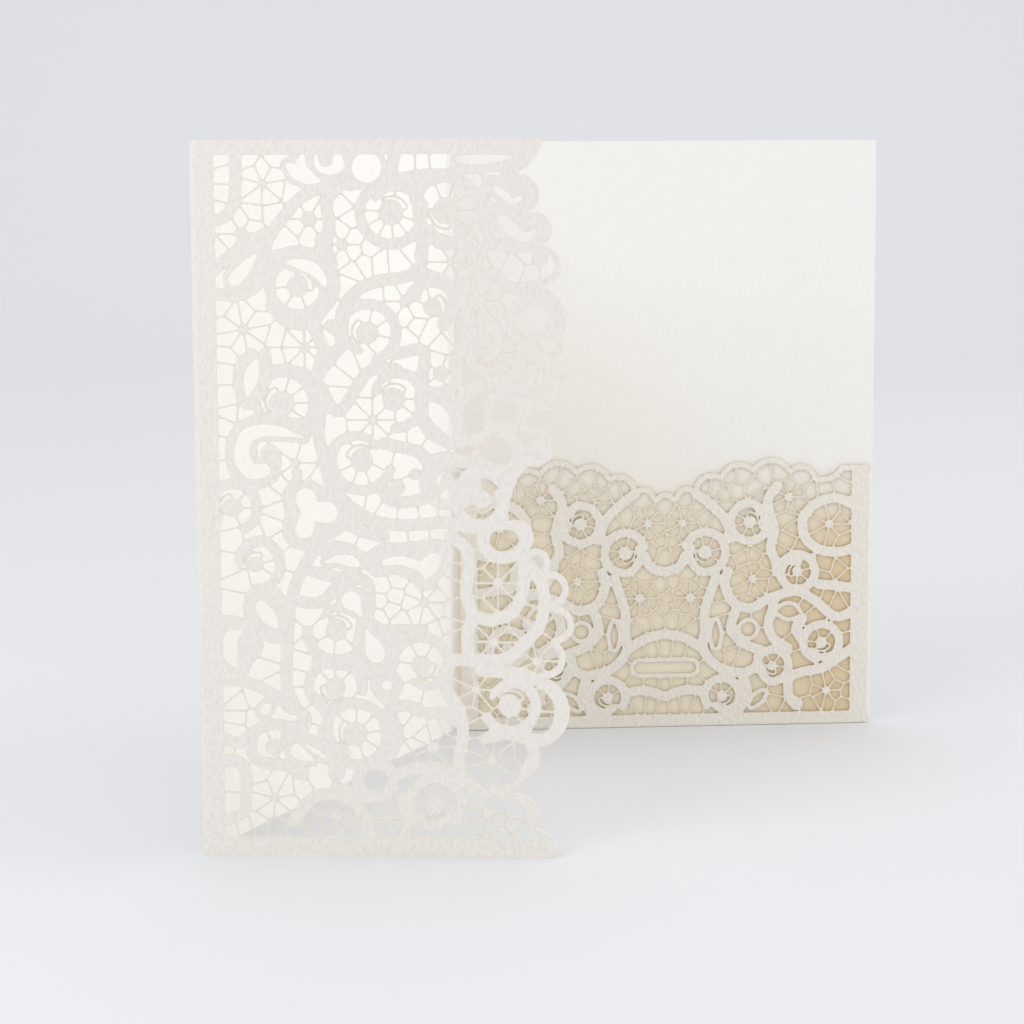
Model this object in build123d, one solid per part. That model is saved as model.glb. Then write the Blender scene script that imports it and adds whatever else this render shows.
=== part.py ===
from build123d import *
import os
from math import cos, hypot, radians, sin

import numpy as np

# A pocketfold invitation: one die-cut sheet of felt-marked card, folded at two scored spines
# into a lace flap, a middle panel and a back panel, whose foot is turned up as a lace pocket.
# Millimetres, +Z up. It stands on its foot, half opened, with the lace flap towards -Y.

# The card and its panels
card = 0.4               # thickness of the board
panel_width = 127.0      # middle and back panels, 5 inches
panel_height = 178.0     # 7 inches
flap_width = 92.4        # spine fold to the furthest scallop
flap_head_width = 85.0   # spine fold to the free edge at the flap's head
flap_foot_width = 87.0   # the same at its foot
flap_border = 4.9        # plain strip beside the spine
foot_border = 4.8        # plain strip along the flap's foot
head_border = 3.6        # plain strip along the flap's head

# The folds
bend_radius = 0.3        # inside a scored fold
spine_width = 2.2        # strip between the two scores of a fold
flap_angle = 65.0        # between flap and middle panel
back_angle = 121.0       # between middle and back panels
flap_heading = -4.0      # the flap's direction from the spine, turned from +X

# The pocket
pocket_height = 80.0     # at its shoulders
pocket_inset = 1.3       # back panel showing beside the pocket
glue_line = 0.1          # glue on both faces of a tab, together
tab_width = 5.0          # glue tab folded in at each side of the pocket
tab_relief = 2.0         # a tab stops short of the pocket's fold and of its head
pocket_side_border = 5.3
pocket_foot_border = 4.0

# The lace
tape_width = 3.0         # plain tapes
scroll_width = 2.6       # the tapes of the scrolls
bar = 0.55               # a bar between two windows
rim_width = 1.3          # card round a leaf or a round hole
edge_band = 1.6          # card along the scallops
seed_spacing = 3.8       # between the middles of the ground windows
least_window = 0.35      # half width under which a window isn't cut
least_area = 1.5         # area under which it isn't cut, square mm
corner_area = 1.0        # what a corner of a window has to add to it, square mm
cell = 0.25              # grid on which the lace is drawn
margin = 2.0

# Both lace fields are drawn at this size, in u along the panel and v up it, and are stretched to
# the borders that they have: low u, low v, high u, high v
flap_drawn = (4.9, 4.8, 92.4, 174.4)
pocket_drawn = (5.3, 4.0, 119.1, 80.0)

# Scalloped free edge of the flap, from the head down: each notch, and the bulge of the arc that
# arrives at it
flap_edge = [
    (78.2, 169.6, 1.3), (81.9, 160.4, 3.8), (84.9, 152.2, 3.6), (84.6, 142.4, 4.5),
    (88.9, 129.2, 3.3), (87.5, 124.8, 1.2), (88.2, 117.4, 3.2), (84.6, 113.6, 1.0),
    (84.8, 107.0, 2.6), (81.3, 98.5, 4.2), (77.2, 92.0, -0.8), (76.1, 84.8, -0.4),
    (81.0, 77.5, 3.6), (85.6, 72.3, 2.9), (87.8, 63.6, 4.1), (88.2, 54.4, 4.1),
    (84.7, 45.6, 3.5), (83.3, 28.3, 7.0), (79.2, 19.9, 2.0), (77.0, 16.6, 0.6),
    (82.4, 7.6, 3.2),
]
flap_corner_bulge = 2.2                            # of the last arc, down to the foot

# The left half of the pocket's top edge, from the shoulder to the dip in the middle
pocket_edge = [
    (8.8, 80.0, 0.0), (15.8, 76.6, -1.4), (24.0, 79.3, 2.4), (35.5, 79.8, 3.0),
    (45.5, 77.6, 2.6), (53.5, 73.6, 2.2), (59.4, 71.0, 1.6),
]
pocket_dip_bulge = 1.4                             # of the arc across the middle

# The flap's tapes and cut-outs, as strokes through points (u, v) or (u, v, half width), and its
# wheels: hub u, v, hub radius, rim radius, windows, turn in degrees
flap_tapes = [
    [(10.3, 174), (10.3, 168), (9.6, 162.5), (7.5, 159.6), (4, 158)],
    [(37, 168), (30, 166), (25.5, 163.5), (21.5, 159), (18, 154), (17, 150), (17.5, 146.5), (14, 142),
     (9.5, 140.3), (4, 141)], [(4, 146), (8, 149.5), (13.5, 153.2), (17.5, 155.5)],
    [(20, 150), (25, 151), (29.5, 149.8), (33, 146.5), (34, 141.5), (31, 136.5), (27, 133.5),
     (22, 134), (18.5, 138)], [(35.5, 167), (32.5, 163), (33, 157), (32, 152.5), (33.5, 148)],
    [(49, 174), (47.5, 168.5), (44, 168), (38, 167)],
    [(47, 168), (52, 168.8), (57, 169.4), (62, 169.5), (65, 171), (72, 171), (79, 172), (83, 174.5)],
    [(54.5, 166), (54.8, 160), (55.5, 154), (55, 147), (51, 144.7), (45, 143.8), (39, 141),
     (35.8, 136), (35.5, 128.5)], [(55, 150), (57, 155.5), (60, 152.8), (65.5, 153), (69, 149)],
    [(53.5, 146), (58, 144.8), (62, 142.5), (63, 137.5), (60.5, 133)],
    [(65.5, 146), (66.5, 137), (66, 130), (63.5, 124.5), (63.7, 119), (60, 116.5), (55.5, 117)],
    [(49, 126), (55.5, 126.8), (55.3, 120), (54.8, 114), (56, 108.2), (59.5, 105), (64, 104.5),
     (63.8, 110), (61, 114.5)],
    [(33, 133), (36, 129), (30, 121), (31, 116.5), (35, 112), (42, 121.5), (49, 122.3)],
    [(28.5, 133), (31, 127), (29.5, 120.5), (30.3, 113), (29.7, 106.5), (30.8, 100.5), (32.5, 94),
     (36.5, 89), (42, 85.3), (48, 83.8), (55, 84), (61, 84.5), (67, 83)],
    [(16.8, 120.5), (21, 122.2), (26.5, 121)],
    [(16.8, 126), (17.2, 121), (15, 116.5), (12.4, 113.6), (10.5, 117), (10.6, 122.5), (13.5, 126)],
    [(27.5, 107.8), (22, 109.1), (15, 109.9), (9.5, 106.8), (8, 101.5), (9.5, 96), (13.5, 93.9),
     (18, 95.5)], [(17.6, 101.4, 2.4), (18.8, 99.8, 1.6), (19, 97.5, 1.2), (18, 95.5, 1.2)],
    [(45.5, 104), (50, 103), (54.8, 101.5), (58, 96.5), (57.3, 91.5), (52, 89.6), (47, 90), (44.6, 94)],
    [(56.5, 99.5), (60.5, 100.5), (65, 99.5), (70, 98.5), (75, 97), (78.3, 99.5), (77.8, 104.5),
     (73, 108)],
    [(23.5, 93.8), (22, 91), (22.5, 86.5), (22, 81.5), (24.5, 79), (28.5, 80), (31, 83.4), (35.8, 84),
     (35.2, 89), (31, 91.3), (27, 93.8)],
    [(35.8, 84), (31, 80.5), (27.5, 76.5), (24.3, 71), (22.3, 65), (21.4, 58), (21, 50), (20.9, 43),
     (23, 38), (25.5, 35), (23.5, 31), (20.5, 30.5)],
    [(29, 77.5), (31.5, 78.2), (36, 78), (41, 75), (43.5, 72.3), (48, 72.9), (52.5, 71.2),
     (55.3, 68.8), (58.5, 72), (61, 76), (59, 78.8), (50, 78), (45, 77.6), (41, 75)],
    [(35.3, 84.6), (40, 82.2), (45.5, 80.8)],
    [(28, 72), (34.5, 70.5), (41, 69.5), (41.5, 62), (39.6, 58.5)], [(22.5, 65), (29, 64.3), (33.5, 68)],
    [(40.2, 60.5), (38.9, 54), (40.2, 48.2), (44.5, 47.2), (47.6, 51.5), (46.3, 55.5), (42.6, 59)],
    [(46, 57.5), (50, 57.6), (55, 57.4)],
    [(18.6, 66.5), (21, 60), (19.5, 55.6), (15.5, 56.6), (12, 61.5), (12.5, 66), (16, 67.5)],
    [(4, 59.8), (8.5, 59.4), (13, 57.5), (13.6, 53), (11, 49.5), (9.4, 46.3), (4.5, 45)],
    [(4, 44.5), (9.5, 44.5), (14, 43), (18.5, 40.5), (22, 37.5)],
    [(4.5, 30.2), (8.5, 28.8), (11.8, 30.8), (14.5, 33), (18, 33.6), (22, 32.8), (25, 33.5)],
    [(11.8, 30.8), (12, 26), (15, 23.6), (20, 23.2), (24, 21.5)],
    [(4, 24.5), (8.5, 24), (10.2, 20.8), (10.2, 16), (9.6, 11.5), (6, 9.2)],
    [(20.5, 30.3), (25, 30), (30, 28), (32, 25.3), (33, 21.5, 2.2)], [(28, 40), (31, 36), (29.8, 31)],
    [(28.5, 49.6), (40, 48.2), (45.7, 47), (48.4, 43.6), (45.7, 40.2), (43, 43.5), (44, 46)],
    [(46.5, 38), (51, 38.5), (55, 36.8), (60, 36.6), (64, 34)], [(46.9, 35.5), (48.4, 31), (46.5, 26)],
    [(33, 17.5), (37, 16.2), (40, 15.2), (44, 15.4), (46.8, 18), (46.6, 21.5), (43.8, 23.8), (40, 23),
     (38.2, 19.6), (40, 15.2)],
    [(46.8, 20.5), (52, 22.5), (58, 22.8), (64, 20), (69, 17.2), (75, 17.2), (79, 18)],
    [(22, 9), (28, 15.5), (37, 14), (42, 4)], [(49, 3), (50.5, 9), (49, 15)],
    [(78.5, 178), (76.5, 172.5), (72.5, 168.5), (70.5, 164), (72, 160.5), (71.3, 156), (73.5, 152.5),
     (79, 152)],
    [(78.2, 165.5, 1.6), (80.5, 166.5, 1.3), (81.6, 164, 1.2), (80.8, 161, 1.3), (77, 160.6, 1.2),
     (72, 161.5, 1.2)],
    [(81.3, 157.5, 1.6), (83.6, 158, 1.4), (84.9, 155.5, 1.3), (83.5, 152.3, 1.3), (79, 151.7, 1.2)],
    [(66, 146), (72, 145.5), (77, 142), (85, 142.6)],
    [(76, 134), (79.5, 138.5), (85, 139), (87.5, 135), (86, 130.5), (82, 129)],
    [(64.5, 104.5), (70, 105.8), (72, 110), (72, 114), (75.5, 116), (79.5, 114), (80.6, 110.3),
     (78, 108.3), (73, 108.2)],
    [(80.6, 110.3), (81.5, 113), (84.5, 113.6), (88, 111.5), (87.5, 107.8), (83.5, 106.9), (80.8, 108.4)],
    [(64, 113), (67, 117.5), (72, 118.5), (78, 117), (82.5, 119), (84.5, 121.5), (85.5, 125)],
    [(83.5, 103, 2.3), (81, 101.3, 1.8), (79, 98.8, 2.6)],
    [(76.8, 97.6, 1.3), (75.2, 93, 1.2), (74.8, 87, 1.3), (74.9, 84, 1.5)],
    [(67, 83), (70.5, 83.6), (74.8, 84.2), (79, 82.2), (80.4, 79.8), (78.6, 77), (74.6, 75.7),
     (71, 77), (69.8, 80), (71, 83)],
    [(79.8, 79), (80, 73), (79.4, 67), (76.8, 62), (71.5, 60.2), (67, 61.4)],
    [(80.4, 79.5), (84.2, 78.8), (86.4, 76), (85.8, 72.6), (83.6, 70.5)],
    [(81.5, 73.5), (84.2, 69), (84.8, 63.5), (83.4, 58.5), (80, 54.5), (75.5, 50.6), (69, 50),
     (62, 50.2)],
    [(69, 47.5), (75, 47), (80, 46.5), (85.5, 43.6), (88.4, 39.5), (88.2, 34), (85.5, 30.6),
     (81, 30.2), (75.5, 31.6), (70.5, 30.5)], [(80.7, 30.5), (82, 26.5), (80.4, 22.5), (78.5, 19.3)],
    [(77.5, 16.3), (79.8, 15), (81.2, 12), (81.8, 8.5)],
    [(62, 50.2), (59.8, 46), (61.5, 41), (63.8, 37), (64.5, 31), (63.5, 25), (64, 20)],
    [(62, 81), (65.5, 78), (66.3, 73), (65.5, 67), (67, 61.5), (65.8, 56), (66.3, 50)],
    [(31.6, 153.6, 2.3)], [(24.2, 96.6, 1.4)], [(32, 173.6, 1.7)], [(25, 173.7, 1.6)], [(10.7, 54, 2.6)],
    [(24, 21.5, 2.2)], [(78.6, 166, 2.2)], [(81.8, 157.6, 2.2)], [(84, 149, 2)], [(49, 93.2, 1.9)],
    [(53.2, 96.4, 1.5)], [(17.5, 27.8, 2.2)],
]
flap_holes = [
    [(26.6, 174, 0.7), (26.2, 171, 1.6), (27.6, 169.1, 1.8), (31, 167.9, 0.2)],
    [(23.3, 171.7, 0.8), (25.6, 169.9, 1.8)],
    [(29.9, 174, 0.5), (30.4, 171.6, 0.7), (32.5, 170.5, 0.9), (35.2, 171.5, 1.4), (35.3, 173.2, 1.3)],
    [(42.2, 171.2, 3.6), (42.25, 171.3, 3.6)], [(9.7, 144.3, 1.7), (12, 146.8, 1.5), (14.9, 150.2, 0.4)],
    [(22.4, 148.5, 0.3), (25.5, 148, 1.2), (28.8, 146.8, 1.5), (31, 144.5, 1.1), (31.9, 142.3, 0.2)],
    [(12.3, 115.8, 0.4), (13, 119, 1.6), (13.8, 122, 1.6), (14.6, 124.3, 0.5)],
    [(16, 97.3, 1.7), (13, 97.1, 1.9), (11, 99.5, 2), (10.7, 102.5, 1.9), (12, 105.7, 1.8),
     (15.5, 107.2, 1.5), (19.5, 107, 1.3), (23, 106.2, 0.7), (26.2, 105.3, 0.15)],
    [(26.3, 90.3, 2.6), (27, 87.4, 2)], [(27.5, 87.2, 2.2), (31.4, 86.9, 2.7)],
    [(26.8, 86, 2), (25.8, 82.7, 2.3)],
    [(31.3, 74.6, 0.4), (34, 75.3, 1), (37, 74.8, 1.4), (38.7, 74.1, 0.9)],
    [(45.8, 74.4, 0.9), (49, 75, 1.1), (53, 74, 1.2), (55.3, 73.2, 1.4)],
    [(55.5, 70.6, 0.4), (56.3, 73.4, 2.2), (57.8, 75.2, 1.7)],
    [(37.2, 64.9, 2.4), (38.7, 62.7, 1), (39.6, 60.7, 0.15)],
    [(14.9, 63.3, 1.6), (16.4, 61, 1.9), (18.2, 58.7, 0.9)],
    [(9.5, 56.9, 0.5), (7.3, 55.7, 1.6), (6.9, 53, 1.8), (7, 50.5, 1.6), (8.3, 48.2, 0.4)],
    [(40.7, 58, 0.15), (41.6, 55.5, 1.1), (42.7, 52.8, 2.2), (43.2, 51.6, 2.3)],
    [(23, 27, 1.7), (24.5, 25.7, 1.4), (27, 24.7, 0.5)],
    [(25.5, 28.3, 0.4), (27.8, 26.8, 0.7), (30, 25.3, 0.5)], [(42.6, 19.4, 2.9), (42.65, 19.4, 2.9)],
    [(45.7, 43.6, 1.3), (45.75, 43.6, 1.3)],
    [(57.3, 113.7, 0.6), (59, 111.2, 2.1), (60.8, 108.8, 1.7), (62.1, 106, 0.4)],
    [(64.8, 173, 1), (71, 173.1, 1.1), (77, 173.5, 0.4)], [(71, 169.7, 0.3), (74.4, 169.5, 0.4)],
    [(73.6, 165.9, 0.8), (75.3, 164.6, 0.9), (77.5, 162.9, 0.8), (79.4, 163.7, 0.5)],
    [(74.8, 158.8, 0.9), (76.3, 157, 1.7), (78.5, 155, 1.4), (80.8, 154.3, 1.1), (82.6, 155.5, 0.5)],
    [(75, 112.1, 2.5), (76.3, 112.1, 2.5)], [(83.5, 110.1, 2), (85.2, 110.1, 2)],
    [(86.9, 121.3, 1.7), (87.3, 121.8, 1.7)], [(74, 80, 2.6), (76, 80, 2.6)], [(16, 38, 1), (15, 37, 1)],
]
flap_wheels = [
    (16.8, 167.4, 1, 5.8, 7, 10), (11.4, 155.3, 1.6, 4.3, 6, 0), (28, 158.8, 1.9, 4.6, 6, 0),
    (36, 152.6, 1.5, 5, 6, 0), (11.5, 132, 1.2, 7, 8, 10), (26.5, 127.6, 1, 6.2, 8, 0),
    (43, 109.8, 1, 6.4, 8, 0), (23.8, 99.2, 1.2, 4.6, 5, 0), (26.2, 57.2, 1.4, 4.3, 4, 45),
    (17.4, 14.8, 1.2, 5.8, 7, 10), (62.3, 148.3, 0.8, 5.4, 6, 0), (51.2, 138.8, 1.4, 6, 6, 0),
    (59.8, 121.2, 1.9, 4.7, 5, 0), (55.2, 64.5, 1.2, 5.4, 7, 0), (69.5, 139, 1.4, 6, 7, 0),
    (70, 151.5, 1.3, 5, 6, 0), (68.5, 101.5, 1.3, 5.2, 6, 0), (73.4, 69.4, 0.9, 6.6, 8, 0),
    (72.2, 54.6, 0.9, 6.4, 8, 0), (83, 49.9, 0.9, 5.2, 7, 0), (67.9, 42.6, 0.9, 5.4, 7, 0),
    (71.6, 25, 1, 7, 9, 0), (70.5, 11.5, 1.3, 4.6, 7, 0), (46, 9.5, 1.2, 3.6, 6, 0),
    (57, 28, 1.4, 5.4, 7, 0), (33, 10.5, 1.2, 4.2, 6, 0),
]

# Its scrolls: disc u, v, disc radius, outer radius, windows, and the bearings that they fill
flap_scrolls = [
    (25, 142.5, 2.6, 5.6, 4, 130, 345), (42, 131.2, 2.7, 5.8, 4, -60, 125),
    (20.8, 113.8, 3.1, 6.6, 5, -70, 110), (40.2, 99.8, 2.8, 6.2, 4, 330, 165),
    (8.2, 88, 2.3, 4.8, 3, -50, 100), (13.6, 73.8, 1.9, 5, 3, -75, 60),
    (33.4, 57.4, 2.7, 6.2, 3, -150, 10), (33, 43, 2.5, 5.5, 4, 5, 175),
    (37.8, 31.3, 3, 6.6, 6, -110, 125), (48, 160.3, 3, 6.4, 7, 140, 375),
    (61.4, 160.8, 3.2, 6.8, 6, 150, -75), (48.2, 114.8, 2.8, 5.9, 3, -75, 40),
    (54.3, 48.8, 2.4, 5.8, 3, 170, 5), (61.3, 94.6, 1.8, 4.6, 4, 10, -165),
    (57.8, 137.4, 2.2, 4.8, 2, 150, 60), (73, 126, 2.3, 5.4, 5, -90, 150),
    (69.5, 90.3, 2.2, 5.2, 4, 40, 260), (76.2, 38.6, 2.8, 5.2, 4, -140, 30),
    (57.5, 13.5, 2.3, 5.4, 5, -30, 200),
]

# The same for one half of the pocket, from its side edge in
pocket_tapes = [
    [(5, 68), (10, 70), (16, 68.5), (20, 64), (19.5, 58), (14.5, 54), (8, 53.5), (4, 55)],
    [(28, 74), (31, 69), (29, 61), (30, 55), (28.5, 51), (27.9, 47.5)], [(4, 42), (10, 43), (15.2, 43.5)],
    [(16.2, 38.5), (22, 41.5), (30, 39.5), (36, 36.5), (41.5, 38.5), (44, 44), (43, 48)],
    [(4, 35), (10, 33.5), (16.2, 38.5)], [(42, 58), (44, 64), (49.5, 69.5), (53, 72)],
    [(47, 45.5), (50, 36), (50, 30), (50.5, 24), (46, 18.5), (38.5, 16.5), (34.5, 18)],
    [(62.2, 48), (58, 49.5), (56, 53)], [(62.2, 29), (56, 27.5), (50.5, 24)],
    [(62.2, 9.5), (56, 11.5), (50.6, 11)], [(19.7, 16.5), (14, 17.5), (9, 20.5), (4, 24)],
    [(19.7, 16.5), (24, 14.5), (24, 9), (21.7, 6.5, 2)], [(38.5, 16.5), (37, 10.5), (40, 4)],
    [(33, 23.5), (38, 25.5), (42, 30), (40.5, 36)], [(24.5, 24), (29, 27), (30.5, 31.5), (29, 37)],
    [(20.3, 26.5), (22, 30), (20, 33)],
]
pocket_holes = [
    [(27, 35.5, 0.6), (24.2, 35.3, 1.9), (21.4, 34.6, 0.3)], [(36.7, 30, 2.2)],
    [(46.7, 32, 0.4), (46.7, 28.5, 1.2), (46.7, 25, 0.4)], [(54.5, 18.5, 1.8), (62.2, 18.5, 1.8)],
    [(35.5, 6.5, 0.4), (33.7, 8.3, 1.1), (32, 10, 0.4)],
]
pocket_wheels = [
    (12, 62, 1.2, 5.4, 7, 0), (54.5, 40, 1.2, 5.6, 8, 0), (35.5, 45.5, 1.1, 5.4, 7, 0),
    (12.5, 10.5, 1.1, 4.6, 7, 0), (57, 63, 1.1, 4.8, 7, 0), (24.5, 70.5, 1.2, 4.6, 7, 0),
]
pocket_scrolls = [
    (21.7, 47.5, 1.5, 4.2, 6, 0, 330), (14.2, 25.5, 1.7, 4.4, 4, -60, 200),
    (44.7, 9.5, 1.6, 4.2, 4, -20, 190), (29.2, 18.5, 1.4, 3.8, 4, 0, 250), (50, 54, 2, 5, 5, 30, 260),
    (36.5, 63, 1.8, 4.6, 5, 200, 440),
]


def fitted(points, drawn, low, high):
    """Drawn points (u, v, size...) stretched from the drawn field to one with these corners."""
    u_scale = (high[0] - low[0]) / (drawn[2] - drawn[0])
    v_scale = (high[1] - low[1]) / (drawn[3] - drawn[1])
    return [(low[0] + (p[0] - drawn[0]) * u_scale, low[1] + (p[1] - drawn[1]) * v_scale, *p[2:])
            for p in points]


def near(points, reach):
    """Rows and columns of the drawing grid within reach of some points."""
    low = ((points.min(0)[:2] - reach + margin) / cell).astype(int).clip(0)
    high = ((points.max(0)[:2] + reach + margin) / cell).astype(int).clip(0) + 2
    return slice(low[1], high[1]), slice(low[0], high[0])


def smooth_line(stroke):
    """A curve through a stroke's points (u, v, half width), by cubics with the slope between
    their neighbours."""
    p = np.array([q if len(q) == 3 else (*q, tape_width / 2) for q in stroke], float)
    if len(p) == 1:
        return p
    p = np.vstack([2 * p[0] - p[1], p, 2 * p[-1] - p[-2]])
    line = []
    for a, b, c, d in zip(p, p[1:], p[2:], p[3:]):
        t = np.linspace(0, 1, int(2 * hypot(*(c - b)[:2])) + 3)[:, None]
        line.append(b + 0.5 * t * (c - a + t * (2 * a - 5 * b + 4 * c - d + t * (3 * (b - c) + d - a))))
    return np.vstack(line)


def to_strokes(grid, strokes):
    """Distance of each grid point to the nearest stroke's edge, negative inside it."""
    field = np.full(grid[0].shape, 5.0)
    for stroke in strokes:
        line = smooth_line(stroke)
        at = near(line, 5.0 + line[:, 2].max())
        away = np.hypot(grid[0][at][..., None] - line[:, 0], grid[1][at][..., None] - line[:, 1]) - line[:, 2]
        field[at] = np.minimum(field[at], away.min(-1))
    return field


def to_outline(grid, ring):
    """Distance of each grid point to a closed outline, positive inside it."""
    u, v = grid
    nearest = np.full(u.shape, 1e9)
    inside = np.zeros(u.shape, bool)
    for (u0, v0), (u1, v1) in zip(ring, np.roll(ring, -1, 0)):
        du, dv = u1 - u0, v1 - v0
        t = np.clip(((u - u0) * du + (v - v0) * dv) / (du * du + dv * dv), 0, 1)
        nearest = np.minimum(nearest, np.hypot(u - u0 - t * du, v - v0 - t * dv))
        if dv:
            inside ^= ((v0 > v) != (v1 > v)) & (u < du * (v - v0) / dv + u0)
    return np.where(inside, nearest, -nearest)


def scroll(u, v, hub, rim, count, start, end):
    """The tape of one scroll, an arc outside its windows that then closes in on its disc, and the
    crescent that it leaves open beside the disc."""
    way = 1 if end > start else -1
    share = np.linspace(0, 1, 8)
    outer = rim + scroll_width / 2 - 0.1
    angle = np.radians(np.concatenate([start - 12 * way + (end - start + 24 * way) * share,
                                       end + (28 + 94 * share) * way]))
    radius = np.concatenate([outer + 0 * share, outer + (hub + 2.1 - outer) * (0.14 + 0.86 * share)])
    half = scroll_width / 2 * np.concatenate([1 + 0 * share, 1 - 0.35 * share])
    tape = np.stack([u + radius * np.cos(angle), v + radius * np.sin(angle), half], 1)
    angle = np.radians(end + (10 + 95 * share) * way)
    crescent = np.stack([u + (hub + 0.5) * np.cos(angle), v + (hub + 0.5) * np.sin(angle), 0.5 - 0.4 * share], 1)
    return tape, crescent


def ground_seeds(grid, room, seeds):
    """The middles of the ground windows: again and again the point with most room round it, with
    a spacing round each that waves a little across the sheet."""
    seeds = list(seeds)
    for place in seeds:
        at = near(np.array([place]), seed_spacing)
        room[at][np.hypot(grid[0][at] - place[0], grid[1][at] - place[1]) < seed_spacing] = -1
    while room.max() > 0.75:
        row, column = divmod(int(room.argmax()), room.shape[1])
        place = grid[0][row, column], grid[1][row, column]
        clear = seed_spacing * (1 + 0.12 * sin(1.7 * place[0] + 2.9 * place[1]))
        at = near(np.array([place]), clear)
        room[at][np.hypot(grid[0][at] - place[0], grid[1][at] - place[1]) < clear] = -1
        seeds.append(place)
    return np.array(seeds)


def to_bars(grid, seeds):
    """Distance of each grid point to the line midway between its two nearest seeds, and which
    seed is the nearest."""
    shape = grid[0].shape
    first, second = np.full(shape, 1e3), np.full(shape, 1e3)
    owner, other = np.zeros(shape, int), np.zeros(shape, int)
    for index, place in enumerate(seeds):
        at = near(place[None], 6.0)
        away = np.hypot(grid[0][at] - place[0], grid[1][at] - place[1])
        nearest, next_best = away < first[at], away < second[at]
        other[at] = np.where(nearest, owner[at], np.where(next_best, index, other[at]))
        second[at] = np.where(nearest, first[at], np.where(next_best, away, second[at]))
        owner[at] = np.where(nearest, index, owner[at])
        first[at] = np.where(nearest, away, first[at])
    apart = np.hypot(*(seeds[owner] - seeds[other]).transpose(2, 0, 1)) + 1e-9
    return (second ** 2 - first ** 2) / (2 * apart), owner


def lace_field(grid, inside, outline, tapes, holes, wheels, scrolls):
    """How deep each grid point lies in a window, negative on the card. Tapes, rims and discs stay
    card, and bars midway between the seeds divide the ground that is left."""
    rings = [(*wheel, wheel[-1] + 360) for wheel in wheels] + scrolls
    wound = [scroll(*ring) for ring in scrolls]
    cut_outs = to_strokes(grid, holes)
    crescents = to_strokes(grid, [crescent for _, crescent in wound])
    room = np.minimum(to_strokes(grid, tapes + [tape for tape, _ in wound]), outline - edge_band)
    room = np.minimum(np.minimum(room, np.minimum(cut_outs - rim_width, crescents - bar)), inside)
    free = room.copy()
    seeds = []
    for hub_u, hub_v, hub, rim, count, start, end in rings:
        away = np.hypot(grid[0] - hub_u, grid[1] - hub_v)
        free[away < (hub + rim) / 2] = -1
        room = np.minimum(room, away - hub)
        angles = np.radians(start + (end - start) * (np.arange(count) + 0.5) / count)
        seeds += list(zip(hub_u + (hub + rim) / 2 * np.cos(angles), hub_v + (hub + rim) / 2 * np.sin(angles)))
    bars, owner = to_bars(grid, ground_seeds(grid, free, seeds))
    windows = np.minimum(room, bars - bar / 2)
    widest = np.full(owner.max() + 1, -1.0)
    np.maximum.at(widest, owner.ravel(), windows.ravel())
    windows[widest[owner] < least_window] = -0.1
    for axis in (0, 1, 0, 1):
        windows = 0.5 * windows + 0.25 * (np.roll(windows, 1, axis) + np.roll(windows, -1, axis))
    return np.maximum(windows, np.minimum(-np.minimum(cut_outs, crescents), inside))


def traced(field):
    """The closed lines where a grid field is zero. Each grid edge whose ends differ in sign has a
    point on it, and each cell joins the points on its own edges."""
    inside = field > 0
    points, numbers, total = [], [], 0
    for axis, (du, dv) in ((1, (1, 0)), (0, (0, 1))):
        ahead = np.roll(field, -1, axis)
        rows, columns = np.nonzero(inside != (ahead > 0))
        share = field[rows, columns] / (field[rows, columns] - ahead[rows, columns])
        points.append(np.stack([(columns + share * du) * cell - margin, (rows + share * dv) * cell - margin], 1))
        numbers.append(np.full(field.shape, -1))
        numbers[-1][rows, columns] = total + np.arange(len(rows))
        total += len(rows)
    level, upright = numbers
    sides = {"bottom": level, "left": upright, "top": np.roll(level, -1, 0), "right": np.roll(upright, -1, 1)}
    corners = (inside * 1 + np.roll(inside, -1, 1) * 2 + np.roll(np.roll(inside, -1, 1), -1, 0) * 4
               + np.roll(inside, -1, 0) * 8)
    joins = {1: ["bottom left"], 2: ["right bottom"], 4: ["top right"], 8: ["left top"], 3: ["right left"],
             6: ["top bottom"], 12: ["left right"], 9: ["bottom top"], 14: ["left bottom"],
             13: ["bottom right"], 11: ["right top"], 7: ["top left"], 5: ["bottom left", "top right"],
             10: ["right bottom", "left top"]}
    follows = np.zeros(total, int)
    for pattern, pairs in joins.items():
        for pair in pairs:
            start, end = pair.split()
            follows[sides[start][corners == pattern]] = sides[end][corners == pattern]
    points = np.vstack(points)
    left = set(range(total))
    lines = []
    while left:
        index = left.pop()
        line = [index]
        while follows[line[-1]] != index:
            line.append(int(follows[line[-1]]))
        left -= set(line)
        lines.append(points[line])
    return lines


def straightened(line):
    """A closed line with few corners: the corner whose triangle with its neighbours is the least
    goes first, as long as that is under the corner area."""
    while len(line) > 3:
        before, after = np.roll(line, 1, 0), np.roll(line, -1, 0)
        area = np.abs((line - before)[:, 0] * (after - before)[:, 1] - (line - before)[:, 1] * (after - before)[:, 0]) / 2
        least = int(area.argmin())
        if area[least] > corner_area:
            break
        line = np.delete(line, least, 0)
    return line


def window_polygons(field):
    """The corners of every window of a lace field that is large enough to cut."""
    polygons = []
    for line in traced(field):
        line = straightened(line)
        u, v = line.T
        if abs(np.dot(u, np.roll(v, -1)) - np.dot(v, np.roll(u, -1))) / 2 > least_area and len(line) > 2:
            polygons.append([tuple(float(x) for x in corner) for corner in line])
    return polygons


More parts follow.
